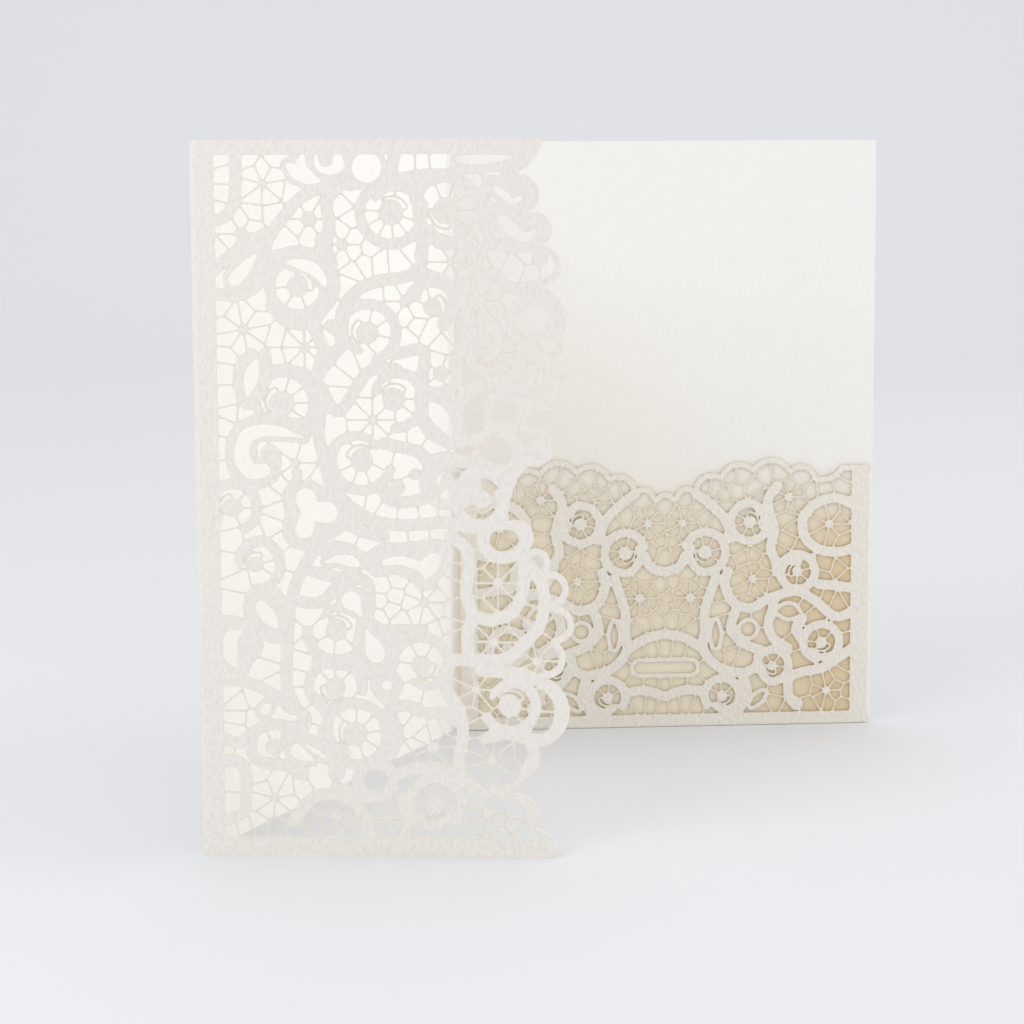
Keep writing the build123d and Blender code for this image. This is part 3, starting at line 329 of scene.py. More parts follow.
flap_tapes = [
    [(10.3, 174), (10.3, 168), (9.6, 162.5), (7.5, 159.6), (4, 158)],
    [(37, 168), (30, 166), (25.5, 163.5), (21.5, 159), (18, 154), (17, 150), (17.5, 146.5), (14, 142),
     (9.5, 140.3), (4, 141)], [(4, 146), (8, 149.5), (13.5, 153.2), (17.5, 155.5)],
    [(20, 150), (25, 151), (29.5, 149.8), (33, 146.5), (34, 141.5), (31, 136.5), (27, 133.5),
     (22, 134), (18.5, 138)], [(35.5, 167), (32.5, 163), (33, 157), (32, 152.5), (33.5, 148)],
    [(49, 174), (47.5, 168.5), (44, 168), (38, 167)],
    [(47, 168), (52, 168.8), (57, 169.4), (62, 169.5), (65, 171), (72, 171), (79, 172), (83, 174.5)],
    [(54.5, 166), (54.8, 160), (55.5, 154), (55, 147), (51, 144.7), (45, 143.8), (39, 141),
     (35.8, 136), (35.5, 128.5)], [(55, 150), (57, 155.5), (60, 152.8), (65.5, 153), (69, 149)],
    [(53.5, 146), (58, 144.8), (62, 142.5), (63, 137.5), (60.5, 133)],
    [(65.5, 146), (66.5, 137), (66, 130), (63.5, 124.5), (63.7, 119), (60, 116.5), (55.5, 117)],
    [(49, 126), (55.5, 126.8), (55.3, 120), (54.8, 114), (56, 108.2), (59.5, 105), (64, 104.5),
     (63.8, 110), (61, 114.5)],
    [(33, 133), (36, 129), (30, 121), (31, 116.5), (35, 112), (42, 121.5), (49, 122.3)],
    [(28.5, 133), (31, 127), (29.5, 120.5), (30.3, 113), (29.7, 106.5), (30.8, 100.5), (32.5, 94),
     (36.5, 89), (42, 85.3), (48, 83.8), (55, 84), (61, 84.5), (67, 83)],
    [(16.8, 120.5), (21, 122.2), (26.5, 121)],
    [(16.8, 126), (17.2, 121), (15, 116.5), (12.4, 113.6), (10.5, 117), (10.6, 122.5), (13.5, 126)],
    [(27.5, 107.8), (22, 109.1), (15, 109.9), (9.5, 106.8), (8, 101.5), (9.5, 96), (13.5, 93.9),
     (18, 95.5)], [(17.6, 101.4, 2.4), (18.8, 99.8, 1.6), (19, 97.5, 1.2), (18, 95.5, 1.2)],
    [(45.5, 104), (50, 103), (54.8, 101.5), (58, 96.5), (57.3, 91.5), (52, 89.6), (47, 90), (44.6, 94)],
    [(56.5, 99.5), (60.5, 100.5), (65, 99.5), (70, 98.5), (75, 97), (78.3, 99.5), (77.8, 104.5),
     (73, 108)],
    [(23.5, 93.8), (22, 91), (22.5, 86.5), (22, 81.5), (24.5, 79), (28.5, 80), (31, 83.4), (35.8, 84),
     (35.2, 89), (31, 91.3), (27, 93.8)],
    [(35.8, 84), (31, 80.5), (27.5, 76.5), (24.3, 71), (22.3, 65), (21.4, 58), (21, 50), (20.9, 43),
     (23, 38), (25.5, 35), (23.5, 31), (20.5, 30.5)],
    [(29, 77.5), (31.5, 78.2), (36, 78), (41, 75), (43.5, 72.3), (48, 72.9), (52.5, 71.2),
     (55.3, 68.8), (58.5, 72), (61, 76), (59, 78.8), (50, 78), (45, 77.6), (41, 75)],
    [(35.3, 84.6), (40, 82.2), (45.5, 80.8)],
    [(28, 72), (34.5, 70.5), (41, 69.5), (41.5, 62), (39.6, 58.5)], [(22.5, 65), (29, 64.3), (33.5, 68)],
    [(40.2, 60.5), (38.9, 54), (40.2, 48.2), (44.5, 47.2), (47.6, 51.5), (46.3, 55.5), (42.6, 59)],
    [(46, 57.5), (50, 57.6), (55, 57.4)],
    [(18.6, 66.5), (21, 60), (19.5, 55.6), (15.5, 56.6), (12, 61.5), (12.5, 66), (16, 67.5)],
    [(4, 59.8), (8.5, 59.4), (13, 57.5), (13.6, 53), (11, 49.5), (9.4, 46.3), (4.5, 45)],
    [(4, 44.5), (9.5, 44.5), (14, 43), (18.5, 40.5), (22, 37.5)],
    [(4.5, 30.2), (8.5, 28.8), (11.8, 30.8), (14.5, 33), (18, 33.6), (22, 32.8), (25, 33.5)],
    [(11.8, 30.8), (12, 26), (15, 23.6), (20, 23.2), (24, 21.5)],
    [(4, 24.5), (8.5, 24), (10.2, 20.8), (10.2, 16), (9.6, 11.5), (6, 9.2)],
    [(20.5, 30.3), (25, 30), (30, 28), (32, 25.3), (33, 21.5, 2.2)], [(28, 40), (31, 36), (29.8, 31)],
    [(28.5, 49.6), (40, 48.2), (45.7, 47), (48.4, 43.6), (45.7, 40.2), (43, 43.5), (44, 46)],
    [(46.5, 38), (51, 38.5), (55, 36.8), (60, 36.6), (64, 34)], [(46.9, 35.5), (48.4, 31), (46.5, 26)],
    [(33, 17.5), (37, 16.2), (40, 15.2), (44, 15.4), (46.8, 18), (46.6, 21.5), (43.8, 23.8), (40, 23),
     (38.2, 19.6), (40, 15.2)],
    [(46.8, 20.5), (52, 22.5), (58, 22.8), (64, 20), (69, 17.2), (75, 17.2), (79, 18)],
    [(22, 9), (28, 15.5), (37, 14), (42, 4)], [(49, 3), (50.5, 9), (49, 15)],
    [(78.5, 178), (76.5, 172.5), (72.5, 168.5), (70.5, 164), (72, 160.5), (71.3, 156), (73.5, 152.5),
     (79, 152)],
    [(78.2, 165.5, 1.6), (80.5, 166.5, 1.3), (81.6, 164, 1.2), (80.8, 161, 1.3), (77, 160.6, 1.2),
     (72, 161.5, 1.2)],
    [(81.3, 157.5, 1.6), (83.6, 158, 1.4), (84.9, 155.5, 1.3), (83.5, 152.3, 1.3), (79, 151.7, 1.2)],
    [(66, 146), (72, 145.5), (77, 142), (85, 142.6)],
    [(76, 134), (79.5, 138.5), (85, 139), (87.5, 135), (86, 130.5), (82, 129)],
    [(64.5, 104.5), (70, 105.8), (72, 110), (72, 114), (75.5, 116), (79.5, 114), (80.6, 110.3),
     (78, 108.3), (73, 108.2)],
    [(80.6, 110.3), (81.5, 113), (84.5, 113.6), (88, 111.5), (87.5, 107.8), (83.5, 106.9), (80.8, 108.4)],
    [(64, 113), (67, 117.5), (72, 118.5), (78, 117), (82.5, 119), (84.5, 121.5), (85.5, 125)],
    [(83.5, 103, 2.3), (81, 101.3, 1.8), (79, 98.8, 2.6)],
    [(76.8, 97.6, 1.3), (75.2, 93, 1.2), (74.8, 87, 1.3), (74.9, 84, 1.5)],
    [(67, 83), (70.5, 83.6), (74.8, 84.2), (79, 82.2), (80.4, 79.8), (78.6, 77), (74.6, 75.7),
     (71, 77), (69.8, 80), (71, 83)],
    [(79.8, 79), (80, 73), (79.4, 67), (76.8, 62), (71.5, 60.2), (67, 61.4)],
    [(80.4, 79.5), (84.2, 78.8), (86.4, 76), (85.8, 72.6), (83.6, 70.5)],
    [(81.5, 73.5), (84.2, 69), (84.8, 63.5), (83.4, 58.5), (80, 54.5), (75.5, 50.6), (69, 50),
     (62, 50.2)],
    [(69, 47.5), (75, 47), (80, 46.5), (85.5, 43.6), (88.4, 39.5), (88.2, 34), (85.5, 30.6),
     (81, 30.2), (75.5, 31.6), (70.5, 30.5)], [(80.7, 30.5), (82, 26.5), (80.4, 22.5), (78.5, 19.3)],
    [(77.5, 16.3), (79.8, 15), (81.2, 12), (81.8, 8.5)],
    [(62, 50.2), (59.8, 46), (61.5, 41), (63.8, 37), (64.5, 31), (63.5, 25), (64, 20)],
    [(62, 81), (65.5, 78), (66.3, 73), (65.5, 67), (67, 61.5), (65.8, 56), (66.3, 50)],
    [(31.6, 153.6, 2.3)], [(24.2, 96.6, 1.4)], [(32, 173.6, 1.7)], [(25, 173.7, 1.6)], [(10.7, 54, 2.6)],
    [(24, 21.5, 2.2)], [(78.6, 166, 2.2)], [(81.8, 157.6, 2.2)], [(84, 149, 2)], [(49, 93.2, 1.9)],
    [(53.2, 96.4, 1.5)], [(17.5, 27.8, 2.2)],
]
flap_holes = [
    [(26.6, 174, 0.7), (26.2, 171, 1.6), (27.6, 169.1, 1.8), (31, 167.9, 0.2)],
    [(23.3, 171.7, 0.8), (25.6, 169.9, 1.8)],
    [(29.9, 174, 0.5), (30.4, 171.6, 0.7), (32.5, 170.5, 0.9), (35.2, 171.5, 1.4), (35.3, 173.2, 1.3)],
    [(42.2, 171.2, 3.6), (42.25, 171.3, 3.6)], [(9.7, 144.3, 1.7), (12, 146.8, 1.5), (14.9, 150.2, 0.4)],
    [(22.4, 148.5, 0.3), (25.5, 148, 1.2), (28.8, 146.8, 1.5), (31, 144.5, 1.1), (31.9, 142.3, 0.2)],
    [(12.3, 115.8, 0.4), (13, 119, 1.6), (13.8, 122, 1.6), (14.6, 124.3, 0.5)],
    [(16, 97.3, 1.7), (13, 97.1, 1.9), (11, 99.5, 2), (10.7, 102.5, 1.9), (12, 105.7, 1.8),
     (15.5, 107.2, 1.5), (19.5, 107, 1.3), (23, 106.2, 0.7), (26.2, 105.3, 0.15)],
    [(26.3, 90.3, 2.6), (27, 87.4, 2)], [(27.5, 87.2, 2.2), (31.4, 86.9, 2.7)],
    [(26.8, 86, 2), (25.8, 82.7, 2.3)],
    [(31.3, 74.6, 0.4), (34, 75.3, 1), (37, 74.8, 1.4), (38.7, 74.1, 0.9)],
    [(45.8, 74.4, 0.9), (49, 75, 1.1), (53, 74, 1.2), (55.3, 73.2, 1.4)],
    [(55.5, 70.6, 0.4), (56.3, 73.4, 2.2), (57.8, 75.2, 1.7)],
    [(37.2, 64.9, 2.4), (38.7, 62.7, 1), (39.6, 60.7, 0.15)],
    [(14.9, 63.3, 1.6), (16.4, 61, 1.9), (18.2, 58.7, 0.9)],
    [(9.5, 56.9, 0.5), (7.3, 55.7, 1.6), (6.9, 53, 1.8), (7, 50.5, 1.6), (8.3, 48.2, 0.4)],
    [(40.7, 58, 0.15), (41.6, 55.5, 1.1), (42.7, 52.8, 2.2), (43.2, 51.6, 2.3)],
    [(23, 27, 1.7), (24.5, 25.7, 1.4), (27, 24.7, 0.5)],
    [(25.5, 28.3, 0.4), (27.8, 26.8, 0.7), (30, 25.3, 0.5)], [(42.6, 19.4, 2.9), (42.65, 19.4, 2.9)],
    [(45.7, 43.6, 1.3), (45.75, 43.6, 1.3)],
    [(57.3, 113.7, 0.6), (59, 111.2, 2.1), (60.8, 108.8, 1.7), (62.1, 106, 0.4)],
    [(64.8, 173, 1), (71, 173.1, 1.1), (77, 173.5, 0.4)], [(71, 169.7, 0.3), (74.4, 169.5, 0.4)],
    [(73.6, 165.9, 0.8), (75.3, 164.6, 0.9), (77.5, 162.9, 0.8), (79.4, 163.7, 0.5)],
    [(74.8, 158.8, 0.9), (76.3, 157, 1.7), (78.5, 155, 1.4), (80.8, 154.3, 1.1), (82.6, 155.5, 0.5)],
    [(75, 112.1, 2.5), (76.3, 112.1, 2.5)], [(83.5, 110.1, 2), (85.2, 110.1, 2)],
    [(86.9, 121.3, 1.7), (87.3, 121.8, 1.7)], [(74, 80, 2.6), (76, 80, 2.6)], [(16, 38, 1), (15, 37, 1)],
]
flap_wheels = [
    (16.8, 167.4, 1, 5.8, 7, 10), (11.4, 155.3, 1.6, 4.3, 6, 0), (28, 158.8, 1.9, 4.6, 6, 0),
    (36, 152.6, 1.5, 5, 6, 0), (11.5, 132, 1.2, 7, 8, 10), (26.5, 127.6, 1, 6.2, 8, 0),
    (43, 109.8, 1, 6.4, 8, 0), (23.8, 99.2, 1.2, 4.6, 5, 0), (26.2, 57.2, 1.4, 4.3, 4, 45),
    (17.4, 14.8, 1.2, 5.8, 7, 10), (62.3, 148.3, 0.8, 5.4, 6, 0), (51.2, 138.8, 1.4, 6, 6, 0),
    (59.8, 121.2, 1.9, 4.7, 5, 0), (55.2, 64.5, 1.2, 5.4, 7, 0), (69.5, 139, 1.4, 6, 7, 0),
    (70, 151.5, 1.3, 5, 6, 0), (68.5, 101.5, 1.3, 5.2, 6, 0), (73.4, 69.4, 0.9, 6.6, 8, 0),
    (72.2, 54.6, 0.9, 6.4, 8, 0), (83, 49.9, 0.9, 5.2, 7, 0), (67.9, 42.6, 0.9, 5.4, 7, 0),
    (71.6, 25, 1, 7, 9, 0), (70.5, 11.5, 1.3, 4.6, 7, 0), (46, 9.5, 1.2, 3.6, 6, 0),
    (57, 28, 1.4, 5.4, 7, 0), (33, 10.5, 1.2, 4.2, 6, 0),
]
flap_scrolls = [
    (25, 142.5, 2.6, 5.6, 4, 130, 345), (42, 131.2, 2.7, 5.8, 4, -60, 125),
    (20.8, 113.8, 3.1, 6.6, 5, -70, 110), (40.2, 99.8, 2.8, 6.2, 4, 330, 165),
    (8.2, 88, 2.3, 4.8, 3, -50, 100), (13.6, 73.8, 1.9, 5, 3, -75, 60),
    (33.4, 57.4, 2.7, 6.2, 3, -150, 10), (33, 43, 2.5, 5.5, 4, 5, 175),
    (37.8, 31.3, 3, 6.6, 6, -110, 125), (48, 160.3, 3, 6.4, 7, 140, 375),
    (61.4, 160.8, 3.2, 6.8, 6, 150, -75), (48.2, 114.8, 2.8, 5.9, 3, -75, 40),
    (54.3, 48.8, 2.4, 5.8, 3, 170, 5), (61.3, 94.6, 1.8, 4.6, 4, 10, -165),
    (57.8, 137.4, 2.2, 4.8, 2, 150, 60), (73, 126, 2.3, 5.4, 5, -90, 150),
    (69.5, 90.3, 2.2, 5.2, 4, 40, 260), (76.2, 38.6, 2.8, 5.2, 4, -140, 30),
    (57.5, 13.5, 2.3, 5.4, 5, -30, 200),
]

flap_grid = drawing_grid(flap_reach, sheet_height)
flap_scallops = scalloped(flap_edge)
flap_outline = distance_to_outline(flap_grid, np.vstack([[(0, 0), (0, sheet_height)], flap_scallops]))
flap_inside = np.minimum.reduce([flap_grid[0] - flap_border, flap_grid[1] - foot_border,
                                 sheet_height - head_border - flap_grid[1]])
flap_field = lace_field(flap_grid, flap_outline, flap_inside, flap_tapes, flap_holes, flap_wheels,
                        flap_scrolls)
flap_ring = np.vstack([[(flap_start, 0), (flap_start, sheet_height)], flap_scallops])
flap_flat, flap_corners = plate(flap_ring, flap_field)


# The pocket: the foot of the back panel turned up in front of it, cut as the same lace under a
# scalloped edge, and glued to the panel by a tab folded in at each side. Half of its drawing is
# listed, from a side edge to the middle.
card = 0.4
panel_width = 127.0
pocket_height, pocket_inset, pocket_gap = 80.0, 1.3, 0.5
pocket_side_border, pocket_foot_border = 5.3, 4.0
pocket_span = panel_width - 2 * pocket_inset
pocket_top = 84.0
turn_radius = (pocket_gap + card) / 2
turn_height = turn_radius + card / 2
middle_bulge = 1.4
pocket_edge = [
    (8.8, 80, 0), (15.8, 76.6, -1.4), (24, 79.3, 2.4), (35.5, 79.8, 3),
    (45.5, 77.6, 2.6), (53.5, 73.6, 2.2), (59.4, 71, 1.6),
]
pocket_tapes = [
    [(5, 68), (10, 70), (16, 68.5), (20, 64), (19.5, 58), (14.5, 54), (8, 53.5), (4, 55)],
    [(28, 74), (31, 69), (29, 61), (30, 55), (28.5, 51), (27.9, 47.5)], [(4, 42), (10, 43), (15.2, 43.5)],
    [(16.2, 38.5), (22, 41.5), (30, 39.5), (36, 36.5), (41.5, 38.5), (44, 44), (43, 48)],
    [(4, 35), (10, 33.5), (16.2, 38.5)], [(42, 58), (44, 64), (49.5, 69.5), (53, 72)],
    [(47, 45.5), (50, 36), (50, 30), (50.5, 24), (46, 18.5), (38.5, 16.5), (34.5, 18)],
    [(62.2, 48), (58, 49.5), (56, 53)], [(62.2, 29), (56, 27.5), (50.5, 24)],
    [(62.2, 9.5), (56, 11.5), (50.6, 11)], [(19.7, 16.5), (14, 17.5), (9, 20.5), (4, 24)],
    [(19.7, 16.5), (24, 14.5), (24, 9), (21.7, 6.5, 2)], [(38.5, 16.5), (37, 10.5), (40, 4)],
    [(33, 23.5), (38, 25.5), (42, 30), (40.5, 36)], [(24.5, 24), (29, 27), (30.5, 31.5), (29, 37)],
    [(20.3, 26.5), (22, 30), (20, 33)],
]
pocket_holes = [
    [(27, 35.5, 0.6), (24.2, 35.3, 1.9), (21.4, 34.6, 0.3)], [(36.7, 30, 2.2)],
    [(46.7, 32, 0.4), (46.7, 28.5, 1.2), (46.7, 25, 0.4)], [(54.5, 18.5, 1.8), (62.2, 18.5, 1.8)],
    [(35.5, 6.5, 0.4), (33.7, 8.3, 1.1), (32, 10, 0.4)],
]
pocket_wheels = [
    (12, 62, 1.2, 5.4, 7, 0), (54.5, 40, 1.2, 5.6, 8, 0), (35.5, 45.5, 1.1, 5.4, 7, 0),
    (12.5, 10.5, 1.1, 4.6, 7, 0), (57, 63, 1.1, 4.8, 7, 0), (24.5, 70.5, 1.2, 4.6, 7, 0),
]
pocket_scrolls = [
    (21.7, 47.5, 1.5, 4.2, 6, 0, 330), (14.2, 25.5, 1.7, 4.4, 4, -60, 200),
    (44.7, 9.5, 1.6, 4.2, 4, -20, 190), (29.2, 18.5, 1.4, 3.8, 4, 0, 250), (50, 54, 2, 5, 5, 30, 260),
    (36.5, 63, 1.8, 4.6, 5, 200, 440),
]


def both_halves(strokes):
    """Strokes and their mirror images about the middle of the pocket."""
    return strokes + [[(pocket_span - u, *rest) for u, *rest in stroke] for stroke in strokes]


def pocket_ring(foot):
    """The pocket's outline, up its sides from this height and along its scallops."""
    return np.vstack([[(0, foot), (0, pocket_height)], scalloped(pocket_edge),
                      [(pocket_span, pocket_height), (pocket_span, foot)]])


bulges = [middle_bulge, *[bulge for _, _, bulge in reversed(pocket_edge[1:])]]
pocket_edge += [(pocket_span - u, v, bulge) for (u, v, _), bulge in zip(reversed(pocket_edge), bulges)]
pocket_wheels += [(pocket_span - u, *rest) for u, *rest in pocket_wheels]
pocket_scrolls += [(pocket_span - u, v, hub, rim, count, 180 - start, 180 - end)
                   for u, v, hub, rim, count, start, end in pocket_scrolls]
pocket_grid = drawing_grid(pocket_span, pocket_top)
pocket_inside = np.minimum(np.minimum(pocket_grid[0], pocket_span - pocket_grid[0]) - pocket_side_border,
                           pocket_grid[1] - pocket_foot_border)
pocket_field = lace_field(pocket_grid, distance_to_outline(pocket_grid, pocket_ring(0)), pocket_inside,
                          both_halves(pocket_tapes), both_halves(pocket_holes), pocket_wheels,
                          pocket_scrolls)
pocket_flat, pocket_corners = plate(pocket_ring(turn_height), pocket_field)


# The whole card, folded: flap, spines, panels and pocket are one sheet of felt-marked cover card,
# creased twice at each spine. It is one closed piece, with both faces and every cut edge, laid on
# the middle of the board in plan, which is measured from the flap's free edge to the back.
mm = 0.001
spine_width, bend_radius = 2.2, 0.5
flap_heading, flap_angle, back_angle = -4.0, 65.0, 121.0


def plan_line(start, runs, turns):
    """Middle of the board in plan: straight runs joined by arcs of one radius that leave each run
    at radius * tan(turn / 2) before its corner. Returns the points, the normal towards the inside
    of the folder at each, and the length of board up to it."""
    corner = np.array(start, float)
    heading = math.radians(turns[0])
    points, headings, lengths = [corner[None]], [np.array([heading])], [np.zeros(1)]
    length = 0.0
    share = np.linspace(0, 1, 6)
    for run, turn in zip(runs, [*turns[1:], None]):
        way = np.array([math.cos(heading), math.sin(heading)])
        corner = corner + run * way
        length += run
        if turn is None:
            points.append(corner[None])
            headings.append(np.array([heading]))
            lengths.append(np.array([length]))
            break
        bend = math.radians(turn)
        side = math.copysign(1.0, bend)
        back = bend_radius * math.tan(abs(bend) / 2)
        angles = heading + bend * share
        middle = corner - back * way + side * bend_radius * np.array([-way[1], way[0]])
        points.append(middle + side * bend_radius * np.stack([np.sin(angles), -np.cos(angles)], 1))
        headings.append(angles)
        lengths.append(length - back + share * 2 * back)
        heading += bend
    angles = np.concatenate(headings)
    return np.vstack(points), np.stack([np.sin(angles), -np.cos(angles)], 1), np.concatenate(lengths)


flap_way = math.radians(flap_heading)
flap_turn, back_turn = (flap_angle - 180) / 2, (back_angle - 180) / 2
turns = [flap_heading + 180, flap_turn, flap_turn, back_turn, back_turn]
runs = [flap_reach, spine_width, panel_width, spine_width, panel_width]
free_edge = flap_reach * math.cos(flap_way), flap_reach * math.sin(flap_way)
plan, toward, along = plan_line(free_edge, runs, turns)
back_q = along[-1] - panel_width


def folded(q, v):
    """Place and normal of the board's middle at a length q along the plan line and a height v."""
    place = np.stack([np.interp(q, along, plan[:, 0]), np.interp(q, along, plan[:, 1]), v], 1)
    normal = np.stack([np.interp(q, along, toward[:, 0]), np.interp(q, along, toward[:, 1]), 0 * v], 1)
    return place, normal / np.linalg.norm(normal, axis=1, keepdims=True)


def turned_up(s, t):
    """The same below the back panel's foot: t runs down the panel's face to the turn, round a
    half circle, and up the pocket."""
    place, normal = folded(back_q + s, 0 * s)
    angle = np.clip(t / turn_radius, 0, math.pi)
    rise = np.maximum(t - math.pi * turn_radius, 0)
    out = turn_radius * (1 - np.cos(angle))
    height = turn_height - turn_radius * np.sin(angle) + rise
    up = np.array([0, 0, 1])
    place = place + normal * out[:, None] + up * height[:, None]
    return place, normal * np.cos(angle)[:, None] + up * np.sin(angle)[:, None]


def on_sheet(q, v, corners, browned=0):
    """A patch of the standing sheet: place, normal, its flat place with how browned it is, and the
    corners of its triangles."""
    return (*folded(q, v), np.stack([q, v, browned + 0 * q], 1), corners)


def on_pocket(s, t, corners, browned=0):
    """The same for the turn and the pocket, whose flat place goes on below the back panel."""
    return (*turned_up(s, t), np.stack([back_q + s, -t, browned + 0 * s], 1), corners)


def grid_corners(columns, rows):
    """Two triangles for each cell of a grid whose points run row by row."""
    cell = (np.arange(rows - 1)[:, None] * columns + np.arange(columns - 1)).ravel()
    return np.concatenate([np.stack([cell, cell + 1, cell + columns + 1], 1),
                           np.stack([cell, cell + columns + 1, cell + columns], 1)])


def board(patches, thickness):
    """A closed board from patches of its middle surface: points met twice become one, every
    triangle is turned to face its normals, both faces stand half the thickness off the middle,
    and a wall closes each edge that only one triangle has."""
    starts = np.cumsum([0] + [len(place) for place, _, _, _ in patches])
    place = np.vstack([p[0] for p in patches])
    normal = np.vstack([p[1] for p in patches])
    flat = np.vstack([p[2] for p in patches])
    corners = np.vstack([p[3] + start for p, start in zip(patches, starts)])
    _, first, same = np.unique(np.round(place, 4), axis=0, return_index=True, return_inverse=True)
    place, normal, flat, corners = place[first], normal[first], flat[first], same.ravel()[corners]
    a, b, c = (place[corners[:, i]] for i in range(3))
    wrong = (np.cross(b - a, c - a) * normal[corners].sum(1)).sum(1) < 0
    corners[wrong] = corners[wrong][:, ::-1]
    count = len(place)
    edges = np.concatenate([corners[:, [0, 1]], corners[:, [1, 2]], corners[:, [2, 0]]])
    lone = ~np.isin(edges[:, 0] * count + edges[:, 1], edges[:, 1] * count + edges[:, 0])
    start, end = edges[lone].T
    points = np.vstack([place + normal * thickness / 2, place - normal * thickness / 2])
    walls = np.concatenate([np.stack([start, start + count, end + count], 1),
                            np.stack([start, end + count, end], 1)])
    faces = np.concatenate([corners, corners[:, ::-1] + count, walls])
    kinds = np.repeat([0, 1, 2], [len(corners), len(corners), len(walls)])
    return points, faces, kinds, np.vstack([flat, flat])


strips_start = flap_reach - flap_start
stops = along[along > strips_start + 0.01]
back_stops = back_q + np.array([pocket_inset, panel_width - pocket_inset, panel_width])
columns = np.concatenate([[strips_start], stops[:-1], back_stops])
strip_q, strip_v = (a.ravel() for a in np.meshgrid(columns, [0, turn_height, sheet_height]))
strip_corners = grid_corners(len(columns), 3)
middle_q, middle_v = strip_q[strip_corners].mean(1), strip_v[strip_corners].mean(1)
behind_turn = (middle_q > columns[-3]) & (middle_q < columns[-2]) & (middle_v < turn_height)
turn_rows = 7
turn_length = math.pi * turn_radius
turn_s, turn_t = (a.ravel() for a in np.meshgrid([pocket_inset, panel_width - pocket_inset],
                                                 turn_length * np.linspace(0, 1, turn_rows)))
patches = [
    on_sheet(flap_reach - flap_flat[:, 0], flap_flat[:, 1], flap_corners, toast(flap_field, *flap_flat.T)),
    on_sheet(strip_q, strip_v, strip_corners[~behind_turn]),
    on_pocket(turn_s, turn_t, grid_corners(2, turn_rows)),
    on_pocket(pocket_inset + pocket_flat[:, 0], turn_length + pocket_flat[:, 1] - turn_height,
              pocket_corners, toast(pocket_field, *pocket_flat.T)),
]
points, faces, kinds, flat = board(patches, card)
low = points.min(0)
high = points.max(0)
shift = np.array([-(low[0] + high[0]) / 2, -(low[1] + high[1]) / 2, -low[2]])
uv_unit = 100


def card_mesh(name, points, faces, kinds, flat):
    """A mesh in metres with its flat place as UV map, in units of 100 mm, and how browned it is as
    an attribute."""
    mesh = bpy.data.meshes.new(name)
    mesh.from_pydata(((points + shift) * mm).tolist(), [], faces.tolist())
    places = (flat[faces.ravel(), :2] / uv_unit).astype(np.float32)
    mesh.uv_layers.new(name="flat").data.foreach_set("uv", places.ravel())
    browned = mesh.attributes.new("toast", "FLOAT", "POINT")
    browned.data.foreach_set("value", flat[:, 2].astype(np.float32))
    mesh.polygons.foreach_set("material_index", kinds.astype(np.int32))
    piece = bpy.data.objects.new(name, mesh)
    bpy.context.scene.collection.objects.link(piece)
    return piece


sheet_piece = card_mesh("folded_card", points, faces, kinds, flat)
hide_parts("pocketfold")
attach(sheet_piece, "root")
browning = 0.965, 0.935, 0.885


